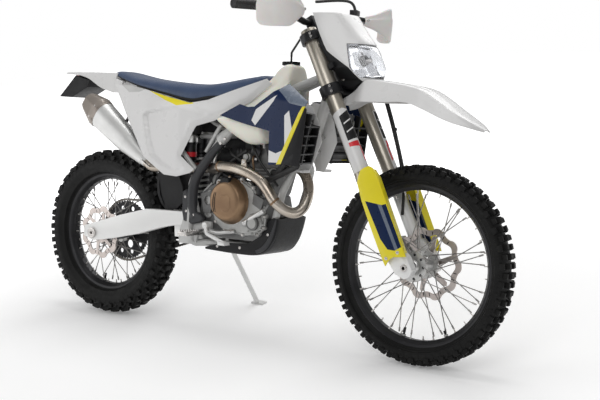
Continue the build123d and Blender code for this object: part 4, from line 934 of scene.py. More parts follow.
def fork_tubes():
    """The stepped outer tubes with their caps and the printed foils round them."""
    soup = Soup()
    for left in (-TUBE_SIDE, TUBE_SIDE):
        foot = on_fork(TUBE_OFFSET, left, 0)
        way = -1 if left < 0 else 1
        profile = [(330, 24.5), (330, 28.5), (333, 29.5), (352, 29.5), (354, 28.6), (640, 28.6), (652, 29.4),
                   (912, 29.4), (915, 28), (915, 22), (917, 22), (917, 20), (912, 19), (912, 6), (918, 5), (918, 1)]
        soup.add(*turned(foot, UP, profile, 48), FORK)
        soup.add(*turned(foot + UP * 911, UP, [(0, 21), (4.5, 21), (5.5, 19.5), (5.5, 11), (4, 10)], 6), DARK_METAL)
        # A printed foil on the outer face: white, a black block with white bars, a red flash.
        for low, high, start, end, material, radius, wall, cut_low, cut_high in (
                (366, 600, 34, 122, WHITE, 28.7, 0.7, 0, -14), (366, 600, 34, -26, WHITE, 28.7, 0.7, 0, -8),
                (484, 592, -18, 72, BLACK, 29.4, 0.25, -4, -20), (522, 527, -8, 58, WHITE, 29.55, 0.25, -14, -14),
                (554, 559, -8, 58, WHITE, 29.55, 0.25, -14, -14), (452, 474, -8, 74, RED, 29.4, 0.25, 6, -2),
                (394, 456, -16, 0, RED, 29.4, 0.25, 8, 4)):
            leg_wrap(soup, left, low, high, start * way, end * way, material, radius, wall, cut_low, cut_high)
    soup.make("fork_tubes", "steering", ("fork_outer_tubes",), 30)


fork_tubes()


GUARD_EDGE = [(-6, 30), (6, 36), (22, 44), (40, 46), (60, 38), (84, 30), (86, 60), (86, 120), (90, 220), (94, 318),
              (92, 340), (86, 356), (76, 366), (58, 368), (40, 366), (24, 350), (10, 330), (0, 270), (-4, 200),
              (-6, 110)]
GUARD_PATCH = [(14, 262), (70, 224), (85, 222), (82, 66), (54, 64), (30, 78), (18, 120)]
# The strip of the navy panel that is coloured blue-grey as a painted highlight.
GUARD_PAINTED_HIGHLIGHT = [(56, 234), (69, 225), (68, 65), (56, 64)]


def guard_depth(x, z):
    """How far out the guard's face stands: crowned fore and aft, turning in at its front edge."""
    across = (x - 42) / 48
    return 133.6 - 5.0 * abs(across) ** 2.6 - 3.0 * max(0, (z - 330) / 40) ** 2 - 2.5 * max(0, (60 - z) / 30) ** 2


def fork_guard(way):
    """One yellow fork guard with its navy panel, a painted highlight strip on that panel, overlapping cap and screws.
    """
    bm = flat_sheet(GUARD_EDGE, (GUARD_PATCH, GUARD_PAINTED_HIGHLIGHT), range(-4, 96, 8), range(36, 366, 12))
    for face in bm.faces:
        centre = face.calc_center_median()
        if inside(GUARD_PATCH, centre.x, centre.z):
            # Faces in the strip get the blue-grey painted highlight instead of navy.
            face.material_index = 2 if inside(GUARD_PAINTED_HIGHLIGHT, centre.x, centre.z) else 1
        if centre.z > 312:
            face.material_index = 0
    for vert in bm.verts:
        raised = 1.6 if vert.co.z > 310 and vert.co.x < 90 else 0
        x, z = vert.co.x, vert.co.z
        vert.co = on_fork(x, way * (guard_depth(x, z) - 1.6 + raised), z)
    face_out(bm, way)
    name = "fork_guard_left" if way > 0 else "fork_guard_right"
    sheet_piece(bm, name, "steering", [YELLOW, NAVY, NAVY_PAINTED_HIGHLIGHT], ("fork_guards",), 0.004, 0.001)
    soup = Soup()
    front = []
    for up, ahead in ((44, 83), (120, 86), (220, 90), (318, 93), (350, 86)):
        front.append([on_fork(ahead + a, way * y, up) for a, y in
                      ((0.5, 126), (0, 131), (-3.5, 128), (-7, 112), (-9, 100), (-6, 98), (-3.5, 110), (-0.5, 122))])
    soup.add(*rings(front), YELLOW)
    for ahead, up in ((12, 52), (62, 54)):
        soup.add(*turned(on_fork(ahead, way * 117, up), (0, way, 0), [(0, 9), (12, 9)], 16), YELLOW)
        soup.screw(on_fork(ahead, way * (guard_depth(ahead, up) - 1.8), up), (0, way, 0), 6, 2.6)
    soup.make(name + "_edge", "steering", (), 40)


fork_guard(-1)
fork_guard(1)

# ---- headlight mask, lens and reflector ------------------------------------
# (height, x of the rear, x of the front, half width at the rear, at the front)
COWL = [(976, 522, 545, 54, 43), (1000, 496, 551, 80, 45), (1024, 470, 552, 92, 46), (1110, 385, 506, 110, 52),
        (1150, 362, 468, 112, 60), (1217, 323, 412, 108, 76)]
SEAM = [(976, 516), (980, 513), (1021, 480), (1081, 395), (1150, 361), (1240, 318)]
LENS_EDGE = [(976, 489), (986, 487), (1014, 482), (1081, 465), (1109, 458), (1150, 408), (1240, 322)]
LENS_LOW, LENS_HIGH = 988, 1108
LENS_HALF_WIDE, LENS_HALF_TALL = 80, 62


def at_height(table, z):
    """A value read off (height, value) pairs."""
    if z <= table[0][0]:
        return table[0][1]
    for (za, a), (zb, b) in zip(table, table[1:]):
        if z <= zb:
            return a + (b - a) * (z - za) / (zb - za)
    return table[-1][1]


def cowl_half(z):
    """The cowl's plan line at one height, from the middle of its front back along its right side."""
    rear, front, rear_half, front_half = along_stations(COWL, z)
    line = [Vector((front + 5, 0)), Vector((front + 4.4, front_half * 0.4)), Vector((front + 2.5, front_half * 0.7)),
            Vector((front - 1, front_half * 0.92))]
    corner, back = Vector((front, front_half)), Vector((rear, rear_half))
    way = (back - corner).normalized()
    line += [corner + way * 7 + Vector((-0.6, 0.8)), corner + way * 16]
    side = (back - corner).length
    line += [corner + way * side * share + Vector((0.45, 0.9)) * 3.2 * sin(pi * share)
             for share in (0.35, 0.55, 0.75, 0.9)]
    line += [back + Vector((-6, 0.6)), Vector((rear - 70, rear_half + 0.4)), Vector((rear - 170, rear_half))]
    return line


def crossing(line, x):
    """Where a plan line first passes back over x, as (segment, share)."""
    for k in range(len(line) - 1):
        if line[k].x >= x >= line[k + 1].x and line[k].x > line[k + 1].x:
            return k + (line[k].x - x) / (line[k].x - line[k + 1].x)
    return len(line) - 1.001


def walk(line, start, end, count):
    """Evenly spaced points of a plan line between two places on it."""
    marks = []
    for place in spaced(start, end, 60):
        k0 = min(int(place), len(line) - 2)
        marks.append(line[k0] + (line[k0 + 1] - line[k0]) * (place - k0))
    lengths = [0.0]
    for a, b in zip(marks, marks[1:]):
        lengths.append(lengths[-1] + (b - a).length)
    result = []
    i = 0
    for k in range(count):
        goal = lengths[-1] * k / (count - 1)
        while i < len(lengths) - 2 and lengths[i + 1] < goal:
            i += 1
        share = (goal - lengths[i]) / max(1e-9, lengths[i + 1] - lengths[i])
        result.append(marks[i] + (marks[i + 1] - marks[i]) * share)
    return result


def mask():
    """The headlight mask's shell, with the lens, the reflector and the lamp let into it."""
    levels = [978, 983] + spaced(LENS_LOW, LENS_HIGH, 10)
    levels += [1112, 1120, 1130, 1142, 1156, 1170, 1184, 1197, 1208, 1217]
    near, far = 11, 12
    verts, white, glass = [], [], []
    for z in levels:
        line = cowl_half(z)
        seam = at_height(SEAM, z)
        edge = crossing(line, max(at_height(LENS_EDGE, z), seam + 1))
        half = walk(line, 0, edge, near) + walk(line, edge, crossing(line, seam), far + 1)[1:]
        verts += mirrored([Vector((p.x, p.y, z)) for p in half])
    size = 2 * (near + far) - 1
    middle = near + far - 1
    for r in range(len(levels) - 1):
        for i in range(size - 1):
            face = [r * size + i, r * size + i + 1, (r + 1) * size + i + 1, (r + 1) * size + i]
            in_lens = levels[r] >= LENS_LOW and levels[r + 1] <= LENS_HIGH and abs(i + 0.5 - middle) < near - 1
            (glass if in_lens else white).append(face)
    thicken(mesh_piece("mask_shell", verts, white, "steering", [WHITE], ("headlight_mask",), 40), 0.003)
    used = sorted({i for face in glass for i in face})
    middle_z = (LENS_LOW + LENS_HIGH) / 2
    clear, bowl, gap = [], [], []
    for i in used:
        p = verts[i]
        y_share, z_share = p.y / LENS_HALF_WIDE, (p.z - middle_z) / LENS_HALF_TALL
        dome = max(0.0, 1 - min(1, y_share ** 2) ** 2 - min(1, z_share ** 2) ** 2 * 0.8)
        clear.append(Vector((p.x - 2.2 + 4.5 * dome, p.y * 0.978, middle_z + (p.z - middle_z) * 0.975)))
        deep = 26 + 40 * max(0.0, 1 - y_share ** 2 * 1.3 - z_share ** 2 * 0.8)
        facet = 1.2 * (sin(p.y * 0.55) + sin(p.z * 0.42))
        bowl.append(Vector((p.x - deep + facet * 0.6, p.y * 0.86, middle_z + (p.z - middle_z) * 0.9)))
        gap.append(Vector((p.x - 5.5, p.y * 0.985, p.z)))
    order = {old: new for new, old in enumerate(used)}
    faces = [[order[i] for i in face] for face in glass]
    lens = mesh_piece("headlight_lens", clear, faces, "steering", [LENS], ("headlight",), 50)
    thicken(lens, 0.0022, edge=None)
    thicken(mesh_piece("headlight_reflector", bowl, faces, "steering", [MIRROR], (), 25), 0.002, edge=None)
    soup = Soup()
    border = {}
    for face in faces:
        for a, b in zip(face, face[1:] + face[:1]):
            key = (min(a, b), max(a, b))
            border[key] = border.get(key, 0) + 1
    behind = Vector((-1.5, 0, 0))
    for (a, b), count in border.items():
        if count == 1:
            soup.add([gap[a], gap[b], bowl[b], bowl[a]], [[0, 1, 2, 3]], MIRROR)
            soup.add([clear[a] + behind, clear[b] + behind, gap[b] + behind, gap[a] + behind], [[0, 1, 2, 3]], BLACK)
    heart = Vector((478, 0, 1052))
    soup.add(*turned(heart, (1, 0, 0), [(0, 20), (14, 19), (18, 15), (20, 11)], 20), DARK_METAL)
    soup.add(*turned(heart + Vector((16, 0, 0)), (1, 0, 0), [(0, 10), (16, 9), (22, 7), (24, 3)], 16), STEEL)
    for turn in (0, 120, 240):
        side = Vector((0, cos(radians(turn)), sin(radians(turn))))
        soup.add(*hose([heart + side * 17 + Vector((4, 0, 0)), heart + side * 26 + Vector((6, 0, 0)),
                        heart + side * 34 + Vector((2, 0, 0))], 3.4, 2, 8), DARK_METAL)
    soup.make("headlight_inside", "steering", (), 40)


mask()


# ---- fenders ---------------------------------------------------------------
def fender(name, stations, body, replaces, flare=0.0, count=64):
    """A moulded fender: crowned top, a crease each side, falling sides with a rolled lip."""
    wall = 3.6
    rows = []
    for x in spaced(stations[0][0], stations[-1][0], count):
        half, top, edge = along_stations(stations, x)
        drop = top - edge
        shoulder = half - 0.35 * drop
        flared = flare * min(1, max(0, (x - 690) / 90))
        outer = [(0, top), (shoulder * 0.5, top - 0.4), (shoulder * 0.86, top - 1.2),
                 (shoulder * 0.97, top - 2.4), (shoulder + 0.02 * drop, top - 4.6)]
        low_y, low_z = half - 1.5, edge + 1.0
        for share in (0.3, 0.55, 0.8):
            outer.append((shoulder + (low_y - shoulder) * share + 1.5 * sin(pi * share) - flared * 0.5 * share,
                          top - 4.6 + (low_z - top + 4.6) * share))
        outer += [(low_y, low_z), (low_y - 0.6 * wall, low_z - 0.6)]
        inner = []
        for k, (y, z) in enumerate(outer[:-1]):
            inner.append((max(0, y - wall * (0.5 if k < 4 else 1.0)) if k else 0, z - wall * (1.0 if k < 5 else 0.25)))
        outer, inner = ([Vector((x, y, z)) for y, z in line] for line in (outer, inner))
        rows.append(mirrored(outer) + mirrored(inner)[::-1])
    verts, faces = rings(rows)
    mesh_piece(name, verts, faces, body, [WHITE], replaces, 24)


# (x, half width, top, lower edge), as for the rear fender
FRONT_FENDER = [(395, 60, 899, 876), (430, 60, 918, 884), (475, 61, 944, 905), (505, 78, 967, 906),
                (535, 95, 984, 905), (580, 98, 983, 905), (622, 98, 978, 905), (711, 96, 964, 905),
                (766, 92, 946, 886), (860, 80, 888, 846), (940, 50, 842, 822), (972, 24, 822, 812)]
fender("fender_front", FRONT_FENDER, "steering", ("front_fender",), flare=4)
REAR_FENDER = [(-985, 55, 1013, 1004), (-900, 64, 1013, 998), (-830, 74, 1013, 982), (-740, 92, 1011, 945),
               (-662, 102, 1009, 926)]
fender("fender_rear", REAR_FENDER, "frame", (), count=36)
fender("fender_rear_step", [(-664, 102, 986, 926), (-657, 101, 984, 926), (-620, 101, 975, 926)], "frame",
       ("rear_fender",), count=6)


def fender_details():
    """The front fender's mounting screws, and a raised ridge along its middle towards the tip."""
    soup = Soup()
    for y in (-34, 34):
        for x, z in ((452, 925), (486, 948)):
            soup.screw((x, y, z), (-0.35, 0, 1), 6.5, 4)
    ridge = []
    for k in range(15):
        x = 640 + 300 * k / 14
        top = along_stations(FRONT_FENDER, x)[1]
        rise = 2.2 * sin(pi * min(1, k / 10 + 0.02)) if k < 10 else 2.2 * (14 - k) / 14
        wide = 26 * (1 - k / 16)
        ridge.append([Vector((x, y * wide, top - 1.2 + h)) for y, h in ((-1, 0), (-0.6, rise), (0.6, rise), (1, 0),
                                                                      (0.5, -1), (-0.5, -1))])
    soup.add(*rings(ridge), WHITE)
    soup.make("fender_front_ridge", "steering", (), 30)


fender_details()

# ---- silencer --------------------------------------------------------------
MUFFLER_FOOT = Vector((-441, -113, 653))
MUFFLER_WAY = Vector((-338, -5, 236)).normalized()
MUFFLER_SIDE = (Vector((0, 1, 0)) - MUFFLER_WAY * MUFFLER_WAY.y).normalized()
MUFFLER_TOP = MUFFLER_WAY.cross(MUFFLER_SIDE)
if MUFFLER_TOP.z < 0:
    MUFFLER_TOP = -MUFFLER_TOP
# (place along the can, half width, half height)
CAN_SIZES = [(0, 23, 25), (130, 40.5, 49.0), (330, 48.0, 60.0), (415, 30, 38)]
CORNER_STEPS, BODY_SOFT, CAP_SOFT = 6, 0.45, 0.22


def muffler_ring(along, wide, high, soft):
    """An eight-sided ring with eased corners."""
    corners = [(-0.45, 1), (0.45, 1), (1, 0.5), (1, -0.45), (0.45, -1), (-0.45, -1), (-1, -0.45), (-1, 0.5)]
    corners = [Vector((a * wide, b * high)) for a, b in corners]
    ring = []
    for k, here in enumerate(corners):
        before, after = corners[k - 1], corners[(k + 1) % 8]
        a, b = here + (before - here) * soft, here + (after - here) * soft
        for s in range(CORNER_STEPS):
            t = s / (CORNER_STEPS - 1)
            ring.append(a * (1 - t) ** 2 + here * 2 * t * (1 - t) + b * t * t)
    centre = MUFFLER_FOOT + MUFFLER_WAY * along
    return [centre + MUFFLER_SIDE * p.x + MUFFLER_TOP * p.y for p in ring]


def silencer():
    """The eight-sided can with its bands, end cap and screws, its joint and its hanger."""
    soup = Soup()
    soup.add(*rings([muffler_ring(a, w, h, BODY_SOFT) for a, w, h in
                     ((0, 21, 22), (1, 23, 25), (16, 25, 27), (40, 30, 33), (128, 40.5, 49.0), (132, 41, 49.5),
                      (322, 48.0, 60.0))]), CAN)
    for low, high, lift in ((20, 27, 0.8), (128, 134, 0.6), (312, 332, 0.4)):
        band = []
        for along, grow in ((low, -1), (low, lift), (high, lift), (high, -1)):
            wide, tall = along_stations(CAN_SIZES, along)
            band.append(muffler_ring(along, wide + grow, tall + grow, BODY_SOFT))
        soup.add(*rings(band), CAN if low < 300 else ENDCAP)
    cap = [muffler_ring(a, w, h, CAP_SOFT) for a, w, h in
           ((320, 46, 57), (320, 48.4, 60.4), (344, 47.9, 59.6), (350, 46.5, 57.8), (400, 34.5, 43), (412, 31, 38.5),
            (415, 28, 35))]
    soup.add(*rings(cap), ENDCAP)
    mouth = MUFFLER_FOOT + MUFFLER_WAY * 408
    soup.add(*turned(mouth, MUFFLER_WAY, [(4, 25), (7.5, 24), (7.5, 18), (2, 17), (2, 1)], 28), STEEL)
    soup.add(*turned(mouth, MUFFLER_WAY, [(7, 17.5), (7.2, 17.4), (7.6, 16.5), (7.3, 1)], 28), BLACK)
    screws_at = 337
    for spot in muffler_ring(screws_at, 48.0, 59.6, CAP_SOFT)[CORNER_STEPS // 2::CORNER_STEPS]:
        out = (spot - (MUFFLER_FOOT + MUFFLER_WAY * screws_at)).normalized()
        soup.add(*turned(spot - out * 1.2, out, [(0, 3.6), (1.8, 3.4), (2.8, 2)], 12), STEEL)
    # The joint to the header with its clamp and spring hooks, and the hanger up to the subframe.
    soup.add(*turned(MUFFLER_FOOT - MUFFLER_WAY * 26, MUFFLER_WAY, [(0, 21.5), (2, 23), (22, 23), (26, 24), (30, 24)],
                     32), HEADER)
    for y in (-1, 1):
        a = MUFFLER_FOOT - MUFFLER_WAY * 34 + MUFFLER_SIDE * 23 * y
        soup.add(*hose([a, a + MUFFLER_WAY * 24 + MUFFLER_SIDE * 4 * y, a + MUFFLER_WAY * 48 + MUFFLER_SIDE * 3 * y],
                       2.6, 3, 8), STEEL)
    soup.add(*hose([(-585, -104, 790), (-572, -88, 842), (-558, -66, 900), (-548, -58, 929.5)], 6, 4, 12), DARK_METAL)
    soup.screw((-585, -107, 812), (0, -1, 0.3), 7, 5)
    soup.make("silencer_body", "frame", ("silencer",), 26)


silencer()


# ---- exhaust header --------------------------------------------------------
def header():
    """The pipe down from the port, round the cases and back, with its bands and flange."""
    soup = Soup()
    points = [(163, 0, 663), (190, -1, 661), (222, -3, 655), (252, -10, 634), (274, -20, 600), (287, -40, 558),
              (284, -62, 520), (266, -86, 500), (238, -112, 508), (206, -132, 538), (178, -139, 578), (146, -141, 610),
              (100, -141, 632), (48, -139, 646), (-12, -127, 652), (-70, -111, 652), (-112, -90, 643),
              (-155, -73, 642), (-215, -74, 640), (-290, -80, 636), (-372, -100, 636)]
    soup.add(*hose(points + [MUFFLER_FOOT - MUFFLER_WAY * 30, MUFFLER_FOOT - MUFFLER_WAY * 4], 20, 7, 28), HEADER)
    for at, low, high in (((206, -132, 538), (238, -112, 508), (178, -139, 578)),
                          ((-70, -111, 652), (-12, -127, 652), (-112, -90, 643))):
        way = (Vector(high) - Vector(low)).normalized()
        soup.add(*turned(Vector(at) - way * 4, way, [(0, 20.2), (1, 21.6), (7, 21.6), (8, 20.2)], 32), BRONZE)
    soup.add(*turned((160, 0, 663), (1, 0, -0.05), [(0, 30), (7, 30), (7, 24), (14, 23)], 28), CAST)
    # The bracket with its screw above the long run.
    bracket = Vector((66, -141, 668))
    soup.add(*rings([[bracket + Vector((a, y, b)) for a, b in ((-13, -8), (13, -12), (10, 16), (-8, 18))]
                     for y in (3, -2)]), HEADER)
    soup.screw(bracket + Vector((1, -2, 8)), (0, -1, 0), 7, 5)
    soup.make("header_pipe", "frame", ("exhaust_header",), 32)


header()


# ---- handguards ------------------------------------------------------------
BAR_BEND = on_fork(15.5, 215, 1000)
GUARD_PLAN = smooth_line([(92, 200, 0), (108, 236, 0), (122, 276, 0), (126, 316, 0), (116, 350, 0), (94, 372, 0),
                          (64, 382, 0), (34, 384, 0)], 4)
# (share of the way round, lower edge, upper edge), from the bar
GUARD_HEIGHTS = [(0, -30, 2), (0.14, -42, 12), (0.30, -60, 30), (0.44, -78, 43), (0.58, -82, 45), (0.8, -82, 37),
                 (0.94, -76, 26), (1, -62, 16)]
# (share of the way up, how far out)
GUARD_FACETS = [(0, -2.0), (0.07, 1.5), (0.34, 4.0), (0.66, 6.0), (0.74, 3.0), (0.95, 1.5), (1, -1.5)]


def handguards():
    """Moulded hand shields, bent round the levers, faceted, each on an arm from the bar."""
    last = len(GUARD_PLAN) - 1
    arms = Soup()
    for way in (-1, 1):
        rows = []
        for k, spot in enumerate(GUARD_PLAN):
            along = (GUARD_PLAN[min(k + 1, last)] - GUARD_PLAN[max(k - 1, 0)]).normalized()
            out = Vector((along.y, -along.x, 0))
            low, high = along_stations(GUARD_HEIGHTS, k / last)
            row = []
            for s in range(21):
                place = spot + out * at_height(GUARD_FACETS, s / 20)
                row.append(Vector((BAR_BEND.x + place.x, way * place.y, BAR_BEND.z + low + (high - low) * s / 20)))
            rows.append(row)
        verts, faces = rings(rows, closed=False)
        side = "left" if way > 0 else "right"
        thicken(mesh_piece("handguard_" + side, verts, faces, "steering", [GUARD], ("handguards",), 22), 0.0032, 0.0)
        arm = [BAR_BEND + Vector(step) for step in ((4, -14, 4), (38, -20, 0), (76, -18, -6), (94, -8, -10))]
        arm = [Vector((p.x, way * p.y, p.z)) for p in arm]
        arms.add(*hose(arm, [11, 9, 8, 8], 5, 12), BLACK)
        arms.screw(arm[-1] + Vector((9, 0, 0)), (1, 0, 0), 5.5, 4)
    arms.make("handguard_arms", "steering", (), 40)


handguards()


# ---- under the headlight, and the lines down the left leg ------------------
def front_clutter():
    """The tray under the headlight, the clamps' bolts, and the lines down the left leg."""
    soup = Soup()
    rows = []
    for x, low, high, half in ((392, 996, 1060, 44), (412, 968, 1040, 46), (440, 950, 1014, 46), (470, 952, 998, 47),
                               (500, 970, 990, 46), (520, 981, 985, 42)):
        middle, tall = (low + high) / 2, (high - low) / 2
        rows.append([Vector((x, half * a, middle + tall * b)) for a, b in
                     ((-0.86, -1), (0.86, -1), (1, -0.7), (1, 0.7), (0.86, 1), (-0.86, 1), (-1, 0.7), (-1, -0.7))])
    soup.add(*rings(rows), BLACK)
    for way in (-1, 1):
        soup.screw((428, way * 45.5, 985), (0, way, 0), 6, 4)
        for low, high in ((655, 695), (868, 900)):
            for up in (low + 10, high - 10):
                soup.add(*turned(on_fork(44, way * 130, up), (0, -way, 0), [(-1, 5), (0, 6), (12, 6)], 16),
                         DARK_METAL)
                soup.add(*turned(on_fork(44, way * 129.5, up), (0, way, 0),
                                 [(0, 4.6), (2.4, 4.6), (2.4, 2.5), (1, 2.2)], 6), STEEL)
    soup.make("headlight_underside", "steering", (), 35)
    lines = Soup()
    path = [(330, -90, 1256), (389, 40, 1267), (409, 60, 1204), (420, 96, 1150), (416, 112, 1115), (459, 106, 1033),
            (490, 96, 990), (518, 98, 918), (556, 98, 811), (599, 88, 688), (622, 74, 600), (626, 64, 511)]
    lines.add(*hose(path, 5.2, 8, 14), RUBBER)
    beside = [Vector(p) + Vector((8, -4, 3)) for p in path[2:-2]]
    beside[0] = Vector((404, 66, 1214))
    lines.add(*hose(beside + [Vector((605, 86, 676))], 5.0, 8, 12), RUBBER)
    for spot, way in (((459, 106, 1033), (0.5, -0.1, -0.8)), ((518, 98, 918), (0.35, 0, -0.93)),
                      ((556, 98, 811), (0.33, -0.05, -0.94))):
        way = Vector(way).normalized()
        centre = Vector(spot) + Vector((4.5, 1.5, 1.5))
        lines.add(*turned(centre - way * 5, way, [(0, 8), (1, 9.6), (9, 9.6), (10, 8)], 16), BLACK)
    lines.make("brake_lines", "steering", ("front_brake_hose",), 40)


front_clutter()


# ---- fuel tank -------------------------------------------------------------
# (x, top, half width of the saddle, half waist, top of the lobe, its half width, floor)
TANK_STATIONS = [(-92, 840, 84, 92, 834, 120, 826), (-66, 866, 84, 96, 838, 138, 810),
                 (-20, 898, 80, 97, 842, 148, 782), (30, 936, 74, 97, 846, 151, 756),
                 (77, 964, 68, 94, 850, 153, 741), (120, 996, 62, 90, 856, 153, 745),
                 (150, 1030, 58, 84, 868, 148, 768), (178, 1043, 52, 74, 925, 104, 884),
                 (208, 1036, 44, 56, 985, 66, 968)]


def tank():
    """A blown tank: narrow saddle on top, a waist, and faceted lobes low down on each side."""
    rows = []
    first, last = TANK_STATIONS[0][0], TANK_STATIONS[-1][0]
    for x in spaced(first, last, 56):
        top, half, waist, lobe_top, lobe, floor = along_stations(TANK_STATIONS, x)
        ease = round_ends(x, first, last, 18, 0.72)
        tall = lobe_top - floor
        half_loop = [(0, top), (half * 0.5, top - 1.2), (half * 0.82, top - 5), (half * 0.97, top - 13),
                     (half + 3, top - 0.3 * (top - lobe_top)), (waist - 2, lobe_top + 0.42 * (top - lobe_top)),
                     (waist + 3, lobe_top + 10), (waist + 0.45 * (lobe - waist), lobe_top + 2),
                     (lobe - 5, lobe_top - 0.10 * tall), (lobe, lobe_top - 0.22 * tall),
                     (lobe - 1, floor + 0.46 * tall),
                     (lobe - 10, floor + 0.22 * tall), (lobe - 26, floor + 3), (lobe - 36, floor), (30, floor + 2)]
        middle = (top + floor) / 2
        rows.append(mirrored([Vector((x, y * ease, middle + (z - middle) * ease)) for y, z in half_loop]))
    verts, faces = rings(rows)
    soften(mesh_piece("tank_shell", verts, faces, "frame", [TANK], ("fuel_tank",), 44))


tank()


# ---- frame guards and their brackets ---------------------------------------
def frame_guards():
    """The moulded guards down the frame's spars, with their feet, screws and brackets."""
    soup = Soup()
    tube = [(-70, -108, 742), (-112, -112, 700), (-152, -114, 652), (-184, -114, 608), (-200, -114, 566),
            (-203, -114, 520), (-199, -114, 480), (-186, -113, 446)]
    foot = [(-244, 548), (-228, 556), (-216, 540), (-206, 500), (-196, 478), (-170, 470), (-150, 462), (-140, 448),
            (-150, 434), (-196, 424), (-238, 436), (-246, 470)]
    for way in (-1, 1):
        points = [(x, -way * y, z) for x, y, z in tube]
        soup.add(*hose(points, [16.5, 18, 19, 19.5, 20, 20, 18, 15], 6, 20), GREY)
        soup.add(*plate(foot, way * 103, way * 128, 4), GREY)
        for x, z in ((-222, 473), (-186, 460), (-228, 528)):
            soup.screw((x, way * 127.5, z), (0, way, 0), 5, 3)
        start = Vector((-76, way * 108, 748))
        ahead = Vector((46, -way * 12, 46)).normalized()
        soup.add(*turned(start, ahead, [(-4, 17), (0, 20), (4, 22), (34, 22), (38, 20), (60, 17)], 28), FRAME)
        for along in (6, 30):
            spot = start + ahead * along
            soup.add(*turned(spot + Vector((10, way * 16, -10)), Vector((0.3, way, -0.3)),
                             [(0, 6), (6, 6), (7, 5), (7, 3), (5, 2.6)], 14), STEEL)
    soup.make("frame_guard_shells", "frame", ("frame_guards",), 40)


frame_guards()

# ---- skid plate ------------------------------------------------------------
SKID_LOW = smooth_line([(-150, 0, 331), (-60, 0, 326), (50, 0, 325), (100, 0, 331), (138, 0, 348), (164, 0, 380),
                        (181, 0, 424), (190, 0, 470)], 5)
SKID_TOP = smooth_line([(-150, 0, 338), (-60, 0, 361), (36, 0, 368), (84, 0, 382), (112, 0, 410), (132, 0, 440),
                        (150, 0, 460), (174, 0, 474)], 5)


def skid_plate():
    """A moulded pan with rounded corners, a raised seam up each front corner and mounting screws."""
    rows, picks = [], []
    for low, top in zip(SKID_LOW, SKID_TOP):
        inward = Vector((top.x - low.x, 0, top.z - low.z))
        rows.append(mirrored([low + inward * lift + Vector((0, 92 * share, 0)) for share, lift in
                              ((0, 0), (0.35, 0), (0.7, 0), (0.88, 0.02), (0.95, 0.06), (0.985, 0.14), (1.0, 0.28),
                               (1.0, 0.5), (1.0, 0.75), (0.995, 1.0))]))
    verts, faces = rings(rows, closed=False)
    thicken(mesh_piece("skid_pan", verts, faces, "frame", [BLACK], ("skid_plate",), 40), 0.0045, 0.0)
    soup = Soup()
    for way in (-1, 1):
        strip = []
        for low, top in zip(SKID_LOW, SKID_TOP):
            if low.x > 96:
                wide = min(1, (low.x - 96) / 20)
                strip.append([low + (top - low) * lift + Vector((0, way * y, 0)) for y, lift in
                              ((78, -0.02), (80, -0.02 - 0.02 * wide), (94.5, 0.10), (95.5, 0.30), (93, 0.34),
                               (88, 0.12))])
        soup.add(*rings(strip), GREY)
        for x, z in ((-90, 346), (20, 350), (150, 410)):
            soup.screw((x, way * 93.5, z), (0, way, 0), 5.5, 3)
    soup.make("skid_seams", "frame", (), 35)


skid_plate()


